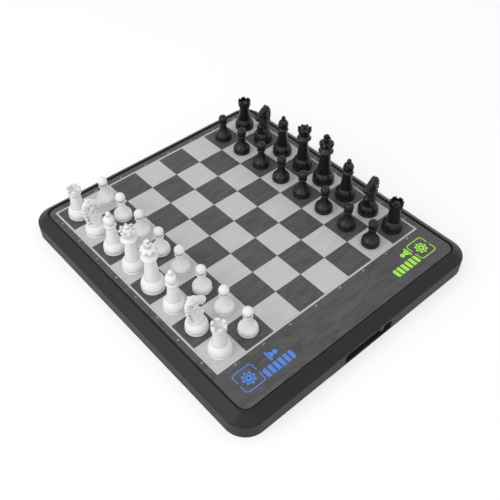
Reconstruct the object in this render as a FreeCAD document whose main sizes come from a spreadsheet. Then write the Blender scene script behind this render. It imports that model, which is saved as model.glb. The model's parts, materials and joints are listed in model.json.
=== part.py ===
# Electronic chess computer: a lit touch board and its loose set of chess pieces.
# Millimetres. +Z is up, +X runs from the a-file to the control strip, +Y from White to Black.
# The origin is the middle of the footprint, on the table.

import FreeCAD, Part

import math
import os

import Sketcher
from FreeCAD import Placement, Rotation, Vector

SQUARES_PER_SIDE = 8
FILES = "abcdefgh"
BACK_RANK = ("rook", "knight", "bishop", "queen", "king", "bishop", "knight", "rook")
LEVEL_STEPS = 6
GEAR_TEETH = 8
CRENELS = 6
CORONET_POINTS = 8
CROWN_FLUTES = 8
QUEEN_TURN = 180 / CORONET_POINTS
PLINTH_SHARE = 0.265

# The knight's sections, in shares of its sizes: height, lean, width and depth of the neck,
# reach, drop, width and depth of the head, and how far back and up each bead of the mane lies
NECK_STATIONS = ((-0.1, 0.0, 0.9, 0.88), (0.02, 0.0, 1.0, 0.96), (0.2, 0.0, 0.77, 0.94),
                 (0.38, 0.19, 0.66, 0.86), (0.56, 0.54, 0.6, 0.72), (0.74, 0.82, 0.57, 0.63),
                 (0.94, 0.95, 0.53, 0.53))
HEAD_STATIONS = ((0.0, 0.0, 0.36, 0.4), (0.12, 0.04, 0.74, 0.77), (0.27, 0.21, 0.96, 0.96),
                 (0.42, 0.38, 1.0, 1.0), (0.58, 0.53, 0.83, 0.84), (0.73, 0.69, 0.72, 0.65),
                 (0.87, 0.89, 0.74, 0.57), (0.97, 1.03, 0.6, 0.43), (1.0, 1.08, 0.32, 0.22))
MANE_STATIONS = ((0.36, 0.0), (0.41, 0.14), (0.47, 0.35), (0.55, 0.55), (0.59, 0.76), (0.57, 0.96),
                 (0.46, 1.12), (0.28, 1.21), (0.07, 1.2))

# Every driving size: its name, its value and what it measures
DIMENSIONS = (
    ("square", 41.0, "side of one playing square"),
    ("grid_border", 10.8, "dark margin of the panel round the squares"),
    ("strip_width", 44.9, "extra width of the panel for the touch controls"),
    ("panel_corner_radius", 11.5, "plan radius of the panel's corners"),
    ("panel_thickness", 2.5, "playing panel"),
    ("groove_width", 1.6, "shadow gap between panel and bezel"),
    ("crest_width", 1.8, "flat top of the bezel"),
    ("crest_rise", 1.25, "bezel's top above the playing surface"),
    ("bezel_run", 13.4, "slope of the bezel, in plan"),
    ("bezel_drop", 10.4, "slope of the bezel, in height"),
    ("wall_height", 20.2, "upright side wall"),
    ("wall_thickness", 2.5, "side wall and slope"),
    ("shoulder_radius", 3.0, "rounding between wall and slope"),
    ("crest_radius", 0.45, "rounding of the bezel's top"),
    ("hem_radius", 0.6, "rounding of the wall's lower edge"),
    ("ledge_width", 6.0, "shelf under the panel's edge"),
    ("ledge_thickness", 3.5, "shelf under the panel's edge"),
    ("gasket_thickness", 0.5, "adhesive ring under the panel"),
    ("gasket_inset", 0.8, "panel edge to the adhesive ring"),
    ("inlay_depth", 0.4, "light fields, outline and icons let into the panel"),
    ("tile_gap", 0.15, "light field's edge to the edge of its square"),
    ("outline_width", 2.4, "light line round the squares"),
    ("frame_offset", 143.8, "settings frame, along the strip from the middle"),
    ("frame_reach", 27.35, "settings frame, from the squares' edge"),
    ("frame_size", 27.9, "settings frame, outside"),
    ("frame_corner", 4.5, "settings frame's corner radius"),
    ("frame_line", 1.2, "settings frame's line"),
    ("frame_gap", 4.1, "break in the settings frame"),
    ("gear_radius", 8.6, "settings gear, tooth tips"),
    ("gear_root_radius", 6.7, "settings gear, tooth roots"),
    ("gear_hole_radius", 5.5, "settings gear, inside of its rim"),
    ("hub_radius", 4.4, "settings gear, hub"),
    ("hub_hole_radius", 1.7, "settings gear, hole in its hub"),
    ("bar_reach", 35.5, "level bar's centre line, from the squares' edge"),
    ("bar_start", 88.2, "first step of the level bar, from the middle"),
    ("bar_pitch", 7.3, "level bar, step to step"),
    ("bar_width", 11.6, "level bar, across"),
    ("bar_step", 5.0, "level bar, one step along"),
    ("pictogram_reach", 20.7, "pawn pictogram, from the squares' edge"),
    ("pictogram_height", 14.1, "pawn pictogram"),
    ("white_pictogram_offset", 103.9, "White's pictogram, from the middle"),
    ("black_pictogram_offset", 120.1, "Black's pictogram, from the middle"),
    ("film_thickness", 0.3, "touch sensor film"),
    ("diffuser_thickness", 1.0, "light diffuser sheet"),
    ("light_grid_height", 8.0, "walls between the lights"),
    ("cell_wall", 1.2, "thickness of the walls between the lights"),
    ("stack_gap", 0.4, "room round the sheets in the housing's opening"),
    ("board_overlap", 8.0, "main board under the housing's shelf"),
    ("board_thickness", 1.6, "main board"),
    ("led_size", 5.0, "lamp under each square"),
    ("control_led_size", 3.0, "lamp under each control"),
    ("led_height", 1.4, "lamps"),
    ("processor_size", 32.0, "screened processor module"),
    ("wireless_length", 24.0, "wireless module"),
    ("wireless_width", 16.0, "wireless module"),
    ("module_height", 2.4, "modules under the main board"),
    ("module_spacing", 60.0, "modules, from the board's middle"),
    ("foot_standoff", 1.5, "rubber feet below the cover"),
    ("foot_radius", 8.0, "rubber feet"),
    ("foot_recess", 0.6, "rubber feet sunk in the cover"),
    ("foot_inset", 34.0, "rubber feet, from the outer walls"),
    ("cover_thickness", 3.0, "floor plate"),
    ("cover_gap", 0.2, "floor plate to side wall"),
    ("tongue_foot_width", 125.0, "cover's tongue at the bottom"),
    ("tongue_top_width", 105.4, "cover's tongue at the top"),
    ("tongue_height", 10.2, "cover's tongue"),
    ("tongue_thickness", 5.0, "cover's tongue"),
    ("bay_width", 80.0, "port bay's mouth"),
    ("bay_height", 16.5, "port bay's mouth"),
    ("bay_sill", 1.2, "cover below the port bay"),
    ("bay_corner", 6.5, "port bay's corner radius"),
    ("bay_depth", 14.0, "port bay, from the wall's face"),
    ("tab_offset", 21.7, "tab in the bay, from the middle"),
    ("tab_width", 8.4, "tab in the bay, at its root"),
    ("tab_drop", 6.8, "tab in the bay"),
    ("tab_taper", 1.6, "tab in the bay, each side"),
    ("liner_wall", 1.5, "port bay's lining"),
    ("liner_gap", 0.15, "port bay's lining to the housing"),
    ("liner_setback", 0.4, "port bay's lining behind the wall's face"),
    ("usb_offset", 33.0, "charging socket, from the middle"),
    ("usb_width", 9.0, "charging socket"),
    ("usb_height", 3.3, "charging socket"),
    ("usb_wall", 0.35, "charging socket's shell"),
    ("port_gap", 0.3, "window round the socket and the button"),
    ("button_offset", 11.0, "power button, from the middle towards White"),
    ("button_width", 14.0, "power button"),
    ("button_height", 6.0, "power button"),
    ("button_corner", 2.0, "power button"),
    ("button_proud", 2.4, "power button in front of the bay's back"),
    ("button_travel", 1.0, "power button"),
    ("flange_lip", 1.5, "power button's flange beyond its cap"),
    ("flange_thickness", 1.2, "power button's flange"),
    ("flange_gap", 0.2, "power button's flange to the lining"),
    ("switch_size", 6.2, "push switch"),
    ("switch_thickness", 1.5, "push switch"),
    ("plunger_radius", 1.6, "push switch"),
    ("plunger_length", 0.6, "push switch"),
    ("plunger_gap", 0.05, "push switch to the pressed button"),
    ("port_board_thickness", 1.2, "port board"),
    ("port_board_width", 62.0, "port board"),
    ("port_board_height", 12.2, "port board"),
    ("guide_height", 9.0, "card guide that holds the port board"),
    ("guide_bite", 2.0, "card guide over the port board's edge"),
    ("guide_gap", 0.05, "card guide to the port board"),
    ("ribbon_width", 12.0, "ribbon cable"),
    ("ribbon_thickness", 0.6, "ribbon cable"),
    ("ribbon_run", 6.0, "ribbon cable, away from the port board"),
    ("battery_length", 96.0, "battery pack"),
    ("battery_width", 60.0, "battery pack"),
    ("battery_thickness", 8.0, "battery pack"),
    ("battery_corner", 3.0, "battery pack"),
    ("battery_offset", 60.0, "battery pack, from the middle towards the a-file"),
    ("tray_gap", 0.5, "battery tray round the pack"),
    ("tray_wall", 1.5, "battery tray"),
    ("tray_height", 5.0, "battery tray"),
    ("strap_width", 18.0, "strap over the battery"),
    ("strap_thickness", 1.5, "strap over the battery"),
    ("strap_foot", 9.0, "strap's foot on its boss"),
    ("strap_boss_height", 6.0, "bosses for the strap"),
    ("lead_width", 3.0, "battery lead"),
    ("lead_thickness", 1.4, "battery lead"),
    ("lead_run", 9.0, "battery lead, away from the pack"),
    ("lead_height", 6.2, "battery lead above the cover"),
    ("post_radius", 3.5, "screw posts of the housing"),
    ("post_inset", 9.5, "screw posts, from the outer wall"),
    ("post_root", 0.3, "posts and bosses, into the shelf"),
    ("boss_radius", 3.0, "bosses for the main board"),
    ("screw_radius", 1.5, "housing screw"),
    ("screw_length", 10.0, "housing screw"),
    ("screw_head_radius", 2.8, "housing screw"),
    ("screw_head_height", 1.3, "housing screw"),
    ("counterbore_depth", 1.5, "sunk screw heads in the cover"),
    ("small_screw_radius", 1.1, "inner screw"),
    ("small_screw_length", 6.0, "inner screw"),
    ("small_head_radius", 2.1, "inner screw"),
    ("small_head_height", 1.3, "inner screw"),
    ("thread_gap", 0.05, "screw to its pilot hole"),
    ("hole_gap", 0.3, "screw to its clearance hole"),
    ("foot_edge", 0.5, "piece's lower edge"),
    ("plinth_edge", 0.4, "plinth's upper edge"),
    ("seam_height", 1.0, "seam above the plinth"),
    ("seam_depth", 1.6, "seam above the plinth"),
    ("bulge_edge", 0.1, "bulge's lower edge"),
    ("step_width", 0.35, "step from base to stem"),
    ("pawn_base_radius", 12.0, "pawn"),
    ("pawn_bulge_height", 6.4, "pawn's base"),
    ("pawn_bulge_top", 9.1, "pawn's base"),
    ("pawn_neck_height", 14.6, "pawn's neck"),
    ("pawn_neck_radius", 4.3, "pawn's neck"),
    ("pawn_collar_radius", 6.0, "pawn's collar"),
    ("pawn_collar_height", 2.8, "pawn's collar"),
    ("pawn_ball_radius", 6.35, "pawn's head"),
    ("pawn_ball_seat", 3.5, "pawn's head on its collar"),
    ("rook_base_radius", 13.6, "rook"),
    ("rook_bulge_height", 10.6, "rook's base"),
    ("rook_bulge_top", 9.1, "rook's base"),
    ("rook_stem_height", 21.0, "rook's stem"),
    ("rook_stem_top", 6.9, "rook's stem"),
    ("rook_flare_height", 3.2, "rook's flare"),
    ("rook_crown_radius", 9.0, "rook's battlement"),
    ("rook_crown_height", 6.7, "rook's battlement"),
    ("rook_well_radius", 6.8, "rook's hollow top"),
    ("rook_well_depth", 9.0, "rook's hollow top"),
    ("crenel_width", 2.9, "gap in the battlement"),
    ("crenel_depth", 2.5, "gap in the battlement"),
    ("knight_base_radius", 13.6, "knight"),
    ("knight_bulge_height", 10.0, "knight's base"),
    ("knight_bulge_top", 9.6, "knight's base"),
    ("knight_neck_height", 33.5, "knight's neck up to the middle of the head"),
    ("knight_neck_depth", 19.2, "knight's neck, front to back"),
    ("knight_neck_width", 15.0, "knight's neck, across at its foot"),
    ("knight_lean", 7.2, "knight's neck, backward lean"),
    ("knight_head_length", 25.0, "knight's head"),
    ("knight_head_depth", 16.4, "knight's head at the cheek"),
    ("knight_head_width", 10.6, "knight's head at the cheek"),
    ("knight_muzzle_drop", 9.4, "knight's muzzle below the poll"),
    ("knight_ear_height", 4.6, "knight's ears"),
    ("knight_ear_radius", 1.8, "knight's ears"),
    ("knight_bead_radius", 2.8, "knight's plaited mane"),
    ("bishop_base_radius", 13.6, "bishop"),
    ("bishop_bulge_height", 10.8, "bishop's base"),
    ("bishop_bulge_top", 9.0, "bishop's base"),
    ("bishop_stem_height", 23.0, "bishop's stem"),
    ("bishop_stem_top", 5.5, "bishop's stem"),
    ("bishop_collar_radius", 7.1, "bishop's collar"),
    ("bishop_collar_height", 5.6, "bishop's collar"),
    ("bishop_mitre_foot", 5.4, "bishop's mitre at the collar"),
    ("bishop_mitre_height", 13.0, "bishop's mitre"),
    ("bishop_mitre_bow", 3.4, "bishop's mitre"),
    ("bishop_ball_radius", 3.1, "bishop's finial"),
    ("bishop_ball_seat", 1.9, "bishop's finial"),
    ("slit_width", 1.3, "cut in the mitre"),
    ("slit_depth", 6.4, "cut in the mitre, along its slope"),
    ("queen_base_radius", 13.8, "queen"),
    ("queen_bulge_height", 12.1, "queen's base"),
    ("queen_bulge_top", 9.3, "queen's base"),
    ("queen_stem_height", 30.3, "queen's stem"),
    ("queen_stem_top", 5.6, "queen's stem"),
    ("queen_collar_radius", 9.5, "queen's collar"),
    ("queen_collar_height", 7.0, "queen's collar"),
    ("queen_cup_foot", 6.1, "queen's coronet at the collar"),
    ("queen_cup_height", 9.6, "queen's coronet"),
    ("queen_cup_radius", 9.1, "queen's coronet"),
    ("queen_rim_width", 2.4, "queen's coronet"),
    ("queen_dome_rise", 2.6, "queen's dome above the coronet's rim"),
    ("queen_ball_radius", 2.5, "queen's finial"),
    ("queen_ball_seat", 1.7, "queen's finial"),
    ("queen_point_radius", 1.75, "balls on the coronet"),
    ("king_base_radius", 15.0, "king"),
    ("king_bulge_height", 11.8, "king's base"),
    ("king_bulge_top", 9.9, "king's base"),
    ("king_stem_height", 32.6, "king's stem"),
    ("king_stem_top", 6.6, "king's stem"),
    ("king_collar_radius", 9.8, "king's collar"),
    ("king_collar_height", 8.6, "king's collar"),
    ("king_cup_foot", 6.6, "king's crown at the collar"),
    ("king_cup_height", 6.4, "king's crown"),
    ("king_cup_radius", 10.1, "king's crown"),
    ("king_dome_rise", 3.0, "king's crown, dome"),
    ("king_dome_top", 3.0, "king's crown, flat at the top"),
    ("flute_radius", 2.0, "flutes of the crown"),
    ("flute_depth", 2.0, "flutes of the crown"),
    ("cross_height", 9.8, "king's cross"),
    ("cross_span", 9.0, "king's cross, arms"),
    ("cross_bar", 3.6, "king's cross, bars"),
    ("cross_thickness", 4.2, "king's cross"),
)

doc = FreeCAD.newDocument("chess_computer")
subparts = {}


class Size:
    """A length with the spreadsheet expression that gives it."""

    def __init__(self, value, text):
        self.value = value
        self.text = text

    def __float__(self):
        return self.value

    def __add__(self, other):
        return Size(self.value + float(other), f"({self.text} + {text_of(other)})")

    def __sub__(self, other):
        return Size(self.value - float(other), f"({self.text} - {text_of(other)})")

    def __rsub__(self, other):
        return Size(float(other) - self.value, f"({text_of(other)} - {self.text})")

    def __mul__(self, other):
        return Size(self.value * float(other), f"({self.text} * {text_of(other)})")

    def __truediv__(self, other):
        return Size(self.value / float(other), f"({self.text} / {text_of(other)})")

    def __neg__(self):
        return Size(-self.value, f"(0 - {self.text})")

    __radd__ = __add__
    __rmul__ = __mul__


def text_of(size):
    """Expression of a size, or a plain number as it stands."""
    return size.text if isinstance(size, Size) else repr(float(size))


def leg(hypotenuse, other_leg):
    """Third side of a right-angled triangle."""
    value = math.sqrt(float(hypotenuse) ** 2 - float(other_leg) ** 2)
    return Size(value, f"sqrt({text_of(hypotenuse)} ^ 2 - {text_of(other_leg)} ^ 2)")


class Dims:
    """Named sizes of the spreadsheet."""

    def __init__(self, document):
        self.sheet = document.addObject("Spreadsheet::Sheet", "Dims")
        for row, (alias, value, note) in enumerate(DIMENSIONS, start=1):
            self.sheet.set(f"A{row}", note)
            self.sheet.set(f"B{row}", str(value))
            self.sheet.setAlias(f"B{row}", alias)
        document.recompute()

    def __getattr__(self, alias):
        return Size(float(self.sheet.get(alias)), f"Dims.{alias}")


d = Dims(doc)

# Plan of the board
grid_half = d.square * (SQUARES_PER_SIDE / 2)
grid_x = -d.strip_width / 2
panel_half_y = grid_half + d.grid_border
panel_half_x = panel_half_y + d.strip_width / 2
bezel_width = d.groove_width + d.crest_width + d.bezel_run
half_x = panel_half_x + bezel_width
half_y = panel_half_y + bezel_width
corner_radius = d.panel_corner_radius + bezel_width
opening_half_x = panel_half_x - d.ledge_width
opening_half_y = panel_half_y - d.ledge_width
opening_corner = d.panel_corner_radius - d.ledge_width
strip_edge = grid_x + grid_half

# Heights of the board
cover_under = d.foot_standoff
cover_top = cover_under + d.cover_thickness
wall_top = cover_under + d.wall_height
crest = wall_top + d.bezel_drop
surface = crest - d.crest_rise
panel_under = surface - d.panel_thickness
shelf = panel_under - d.gasket_thickness
shelf_under = shelf - d.ledge_thickness
film_under = panel_under - d.film_thickness
diffuser_under = film_under - d.diffuser_thickness
board_top = diffuser_under - d.light_grid_height
board_under = board_top - d.board_thickness

# Port bay, seen from outside the wall
tongue_top = cover_under + d.tongue_height
bay_bottom = cover_under + d.bay_sill
bay_top = bay_bottom + d.bay_height
bay_middle = bay_bottom + d.bay_height / 2
liner_middle = bay_middle - d.liner_gap
liner_front = half_x - d.liner_setback
liner_back = half_x - d.bay_depth
flange_front = liner_back - d.flange_gap
flange_back = flange_front - d.flange_thickness
switch_front = flange_back - d.button_travel - d.plunger_gap - d.plunger_length
port_board_front = switch_front - d.switch_thickness
port_board_back = port_board_front - d.port_board_thickness
port_board_middle = (d.usb_offset - d.button_offset) / 2

# Screw places
post_x = half_x - d.post_inset
post_y = half_y - d.post_inset
POSTS = [(half_x * (0.8 * side), post_y * end) for side in (-1, 0, 1) for end in (-1, 1)]
POSTS += [(post_x * side, half_y * (0.55 * end)) for side in (-1, 1) for end in (-1, 1)]
boss_x = opening_half_x + d.board_overlap / 2
boss_y = opening_half_y + d.board_overlap / 2
BOSSES = [(half_x * (0.7 * side), boss_y * end) for side in (-1, 0, 1) for end in (-1, 1)]
BOSSES += [(boss_x * side, half_y * (0.6 * end)) for side in (-1, 1) for end in (-1, 1)]
battery_x = -d.battery_offset
tray_half_width = d.battery_width / 2 + d.tray_gap + d.tray_wall
strap_boss_y = tray_half_width + d.strap_thickness + d.strap_foot / 2
STRAP_BOSSES = [(battery_x, strap_boss_y * end) for end in (-1, 1)]


def point(x, y):
    return Vector(float(x), float(y), 0)


def new_body(label):
    """Empty body that becomes the sub-part of that name."""
    body = doc.addObject("PartDesign::Body", label)
    body.Label = label
    return body


def new_sketch(body, name, plane="XY_Plane", offset=None):
    """Sketch on one of the body's own planes, moved along that plane's normal."""
    sketch = body.newObject("Sketcher::SketchObject", name)
    support = next(f for f in body.Origin.OriginFeatures if f.Role == plane)
    sketch.AttachmentSupport = [(support, "")]
    sketch.MapMode = "FlatFace"
    if offset is not None:
        sketch.setExpression("AttachmentOffset.Base.z", text_of(offset))
    return sketch


def constrain(sketch, kind, *args):
    """Dimension in a sketch, bound to the expression of its size."""
    *where, size = args
    index = sketch.addConstraint(Sketcher.Constraint(kind, *where, float(size)))
    if isinstance(size, Size):
        sketch.setExpression(f"Constraints[{index}]", size.text)


def pin(sketch, geometry, end, x, y):
    """Hold one point of a sketch at its place."""
    constrain(sketch, "DistanceX", geometry, end, x)
    constrain(sketch, "DistanceY", geometry, end, y)


def pin_ends(sketch, geometry, first, last):
    """Hold both ends of a line or an arc, whichever way round the sketch keeps them."""
    start = sketch.getPoint(geometry, 1)
    turned = start.distanceToPoint(point(*first)) > start.distanceToPoint(point(*last))
    ends = (last, first) if turned else (first, last)
    for end, place in enumerate(ends, start=1):
        pin(sketch, geometry, end, *place)


def draw_polygon(sketch, corners):
    """Closed outline of straight lines, every corner held."""
    for first, last in zip(corners, corners[1:] + corners[:1]):
        line = sketch.addGeometry(Part.LineSegment(point(*first), point(*last)))
        pin_ends(sketch, line, first, last)


def draw_rounded(sketch, corners):
    """Closed outline of corners (x, y, radius), each rounded with a tangent arc."""
    places = [point(x, y) for x, y, radius in corners]
    radii = [float(radius) for x, y, radius in corners]
    stretches = []
    for i, place in enumerate(places):
        back = (places[i - 1] - place).normalize()
        ahead = (places[(i + 1) % len(places)] - place).normalize()
        half_angle = back.getAngle(ahead) / 2
        reach = radii[i] / math.tan(half_angle)
        centre_line = (back + ahead).normalize()
        middle = place + centre_line * (radii[i] / math.sin(half_angle) - radii[i])
        stretches.append((place + back * reach, middle, place + ahead * reach))
    for i, (start, middle, end) in enumerate(stretches):
        if radii[i]:
            sketch.addGeometry(Part.Arc(start, middle, end))
        following = stretches[(i + 1) % len(stretches)][0]
        sketch.addGeometry(Part.LineSegment(end, following))


def draw_rounded_rectangle(sketch, half_width, half_height, radius, x=0.0, y=0.0):
    """Rectangle about (x, y) with equal round corners, fully held."""
    corners = ((1, 1), (-1, 1), (-1, -1), (1, -1))
    places = [(x + (half_width - radius) * i, y + (half_height - radius) * j) for i, j in corners]
    first = sketch.GeometryCount
    arcs = []
    for quarter, place in enumerate(places):
        circle = Part.Circle(point(*place), Vector(0, 0, 1), float(radius))
        arcs.append(Part.ArcOfCircle(circle, quarter * math.pi / 2, (quarter + 1) * math.pi / 2))
    for i, arc in enumerate(arcs):
        sketch.addGeometry(arc)
        sketch.addGeometry(Part.LineSegment(arc.EndPoint, arcs[(i + 1) % 4].StartPoint))
    for i, place in enumerate(places):
        arc = first + 2 * i
        following = first + (2 * i + 2) % 8
        sketch.addConstraint(Sketcher.Constraint("Tangent", arc, 2, arc + 1, 1))
        sketch.addConstraint(Sketcher.Constraint("Tangent", arc + 1, 2, following, 1))
        constrain(sketch, "Radius", arc, radius)
        pin(sketch, arc, 3, *place)


def draw_circles(sketch, places, radius):
    """Equal circles, each held at its centre."""
    for place in places:
        circle = sketch.addGeometry(Part.Circle(point(*place), Vector(0, 0, 1), float(radius)))
        constrain(sketch, "Radius", circle, radius)
        pin(sketch, circle, 3, *place)


def draw_rectangles(sketch, places, width, height):
    """Many equal rectangles, drawn at the sheet's sizes."""
    for x, y in places:
        corners = [point(x + width * i, y + height * j) for i, j in
                   ((-0.5, -0.5), (0.5, -0.5), (0.5, 0.5), (-0.5, 0.5))]
        for start, end in zip(corners, corners[1:] + corners[:1]):
            sketch.addGeometry(Part.LineSegment(start, end))


def pad(body, sketch, length, side="One side", reverse=False):
    feature = body.newObject("PartDesign::Pad", sketch.Name + "_pad")
    feature.Profile = sketch
    feature.SideType = side
    feature.Reversed = reverse
    feature.setExpression("Length", text_of(length))
    doc.recompute()
    return feature


def pocket(body, sketch, depth, side="One side", reverse=False):
    """Cut that is known to remove material."""
    before = body.Shape.Volume
    feature = body.newObject("PartDesign::Pocket", sketch.Name + "_pocket")
    feature.Profile = sketch
    feature.SideType = side
    feature.Reversed = reverse
    feature.setExpression("Length", text_of(depth))
    doc.recompute()
    if not body.Shape.Volume < before:
        raise RuntimeError(f"{sketch.Name} cuts nothing")
    return feature


def revolve(body, sketch, axis="V_Axis"):
    feature = body.newObject("PartDesign::Revolution", sketch.Name + "_turn")
    feature.Profile = sketch
    feature.ReferenceAxis = (sketch, [axis])
    feature.Angle = 360
    doc.recompute()
    return feature


def polar_pattern(body, feature, count, sweep):
    """Copies of a feature about the body's upright axis."""
    axis = next(f for f in body.Origin.OriginFeatures if f.Role == "Z_Axis")
    pattern = body.newObject("PartDesign::PolarPattern", feature.Name + "_pattern")
    pattern.Originals = [feature]
    pattern.Axis = (axis, [""])
    pattern.Angle = sweep
    pattern.Occurrences = count
    body.Tip = pattern
    doc.recompute()
    return pattern


def loft(body, sections):
    feature = body.newObject("PartDesign::AdditiveLoft", sections[0].Name + "_loft")
    feature.Profile = sections[0]
    feature.Sections = sections[1:]
    doc.recompute()
    return feature


def keep(body):
    """Count a finished body among the sub-parts."""
    subparts[body.Label] = body


def plate(label, height, thickness, draw, *sizes):
    """Sub-part that is one flat sheet lying on a height."""
    body = new_body(label)
    sketch = new_sketch(body, label + "_outline", offset=height)
    draw(sketch, *sizes)
    pad(body, sketch, thickness)
    keep(body)
    return body


def make_top_housing():
    """Bezel, walls, shelf, posts and bosses in one moulding, with the port notch in its side."""
    body = new_body("top_housing")
    path = new_sketch(body, "housing_path")
    draw_rounded_rectangle(path, half_x, half_y, corner_radius)
    section = new_sketch(body, "housing_section", "XZ_Plane")
    slope = d.bezel_drop / d.bezel_run
    skin = d.wall_thickness * math.hypot(1, float(slope))
    inner_wall = half_x - d.wall_thickness
    slope_foot = wall_top + d.wall_thickness * slope - skin
    slope_head = inner_wall - (shelf_under - slope_foot) / slope
    crest_face = panel_half_x + d.groove_width
    draw_rounded(section, [
        (half_x, cover_under, d.hem_radius),
        (half_x, wall_top, d.shoulder_radius),
        (half_x - d.bezel_run, crest, d.crest_radius),
        (crest_face, crest, d.crest_radius),
        (crest_face, shelf, 0),
        (opening_half_x, shelf, 0),
        (opening_half_x, shelf_under, 0),
        (slope_head, shelf_under, 0),
        (inner_wall, slope_foot, 0),
        (inner_wall, cover_under, 0),
    ])
    ring = body.newObject("PartDesign::AdditivePipe", "housing_ring")
    ring.Profile = section
    ring.Spine = path
    doc.recompute()
    root = shelf_under + d.post_root
    for name, places, radius, foot, hole in (
        ("posts", POSTS, d.post_radius, cover_top, d.screw_radius),
        ("bosses", BOSSES, d.boss_radius, board_top, d.small_screw_radius),
    ):
        rods = new_sketch(body, name, offset=foot)
        draw_circles(rods, places, radius)
        pad(body, rods, root - foot)
        pilots = new_sketch(body, name + "_pilots", offset=foot)
        draw_circles(pilots, places, hole + d.thread_gap)
        pocket(body, pilots, shelf_under - foot, reverse=True)
    notch = new_sketch(body, "port_notch", "YZ_Plane", half_x)
    draw_rounded(notch, notch_outline())
    pocket(body, notch, d.wall_thickness + d.liner_gap)
    keep(body)


def notch_outline():
    """Opening in the side wall: room for the cover's tongue, the bay above it and the bay's tab."""
    gap = d.cover_gap
    foot = d.tongue_foot_width / 2 + gap
    top = d.tongue_top_width / 2 + gap
    bay = d.bay_width / 2
    tab_root = d.tab_width / 2
    tab_tip = tab_root - d.tab_taper
    tab_end = bay_top - d.tab_drop
    below = cover_under - d.hem_radius
    spread = (foot - top) / d.tongue_height * d.hem_radius
    return [
        (-foot - spread, below, 0),
        (foot + spread, below, 0),
        (top, tongue_top + gap, 0),
        (bay, tongue_top + gap, 0),
        (bay, bay_top, d.bay_corner),
        (d.tab_offset + tab_root, bay_top, 0.4),
        (d.tab_offset + tab_tip, tab_end, 0.6),
        (d.tab_offset - tab_tip, tab_end, 0.6),
        (d.tab_offset - tab_root, bay_top, 0.4),
        (-bay, bay_top, d.bay_corner),
        (-bay, tongue_top + gap, 0),
        (-top, tongue_top + gap, 0),
    ]


def make_bottom_cover():
    """Floor plate with the tongue, battery tray, strap bosses and card guides."""
    body = new_body("bottom_cover")
    inset = d.wall_thickness + d.cover_gap
    outline = new_sketch(body, "cover_outline", offset=cover_under)
    draw_rounded_rectangle(outline, half_x - inset, half_y - inset, corner_radius - inset)
    pad(body, outline, d.cover_thickness)

    tongue = new_sketch(body, "tongue", "YZ_Plane", half_x)
    foot = d.tongue_foot_width / 2
    top = d.tongue_top_width / 2
    bay = d.bay_width / 2
    draw_rounded(tongue, [
        (-foot, cover_under, 0),
        (foot, cover_under, 0),
        (top, tongue_top, 0),
        (bay, tongue_top, 0),
        (bay, bay_bottom, d.bay_corner),
        (-bay, bay_bottom, d.bay_corner),
        (-bay, tongue_top, 0),
        (-top, tongue_top, 0),
    ])
    pad(body, tongue, d.tongue_thickness, reverse=True)
    floor = new_sketch(body, "bay_floor", offset=cover_top)
    recess = d.bay_depth + d.liner_gap
    draw_rectangles(floor, [(half_x - recess / 2, 0.0)], recess, d.bay_width)
    pocket(body, floor, cover_top - bay_bottom)

    tray = new_sketch(body, "battery_tray", offset=cover_top)
    for spread in (d.tray_gap, d.tray_gap + d.tray_wall):
        draw_rounded_rectangle(tray, d.battery_length / 2 + spread, d.battery_width / 2 + spread,
                               d.battery_corner + spread, battery_x)
    pad(body, tray, d.tray_height)
    bosses = new_sketch(body, "strap_bosses", offset=cover_top)
    draw_circles(bosses, STRAP_BOSSES, d.boss_radius)
    pad(body, bosses, d.strap_boss_height)
    pilots = new_sketch(body, "strap_pilots", offset=cover_top + d.strap_boss_height)
    draw_circles(pilots, STRAP_BOSSES, d.small_screw_radius + d.thread_gap)
    pocket(body, pilots, d.strap_boss_height)
    guides = new_sketch(body, "card_guides", offset=cover_top)
    for end in (-1, 1):
        draw_polygon(guides, guide_outline(end))
    pad(body, guides, d.guide_height)

    sinks = new_sketch(body, "screw_sinks", offset=cover_under)
    draw_circles(sinks, POSTS, d.screw_head_radius + d.hole_gap)
    pocket(body, sinks, d.counterbore_depth, reverse=True)
    holes = new_sketch(body, "screw_holes", offset=cover_under)
    draw_circles(holes, POSTS, d.screw_radius + d.hole_gap)
    pocket(body, holes, d.cover_thickness, reverse=True)
    feet = new_sketch(body, "foot_recesses", offset=cover_under)
    draw_circles(feet, foot_places(), d.foot_radius)
    pocket(body, feet, d.foot_recess, reverse=True)
    keep(body)


def guide_outline(end):
    """Plan of a card guide, open towards the middle of the port board; end is -1 or 1."""
    edge = port_board_middle + d.port_board_width / 2 * end
    inner = edge - d.guide_bite * end
    slot_end = edge + d.guide_gap * end
    outer = edge + d.guide_bite * end
    slot_back = port_board_back - d.guide_gap
    slot_front = port_board_front + d.guide_gap
    back = slot_back - d.guide_bite
    front = slot_front + d.guide_bite
    return [(back, inner), (slot_back, inner), (slot_back, slot_end), (slot_front, slot_end),
            (slot_front, inner), (front, inner), (front, outer), (back, outer)]


def foot_places():
    return [((half_x - d.foot_inset) * i, (half_y - d.foot_inset) * j) for i in (-1, 0, 1) for j in (-1, 1)]


def square_centres(shade=None):
    """Centres of the squares; shade 1 gives the light ones, 0 the dark ones, None all."""
    middle = (SQUARES_PER_SIDE - 1) / 2
    return [(grid_x + d.square * (file - middle), d.square * (rank - middle))
            for file in range(SQUARES_PER_SIDE) for rank in range(SQUARES_PER_SIDE)
            if shade is None or (file + rank) % 2 == shade]


def draw_light_squares(sketch):
    side = d.square - d.tile_gap * 2
    draw_rectangles(sketch, square_centres(1), side, side)


def draw_grid_outline(sketch):
    for reach in (grid_half, grid_half + d.outline_width):
        corners = [(grid_x + reach * i, reach * j) for i, j in ((1, 1), (-1, 1), (-1, -1), (1, -1))]
        draw_polygon(sketch, corners)


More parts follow.
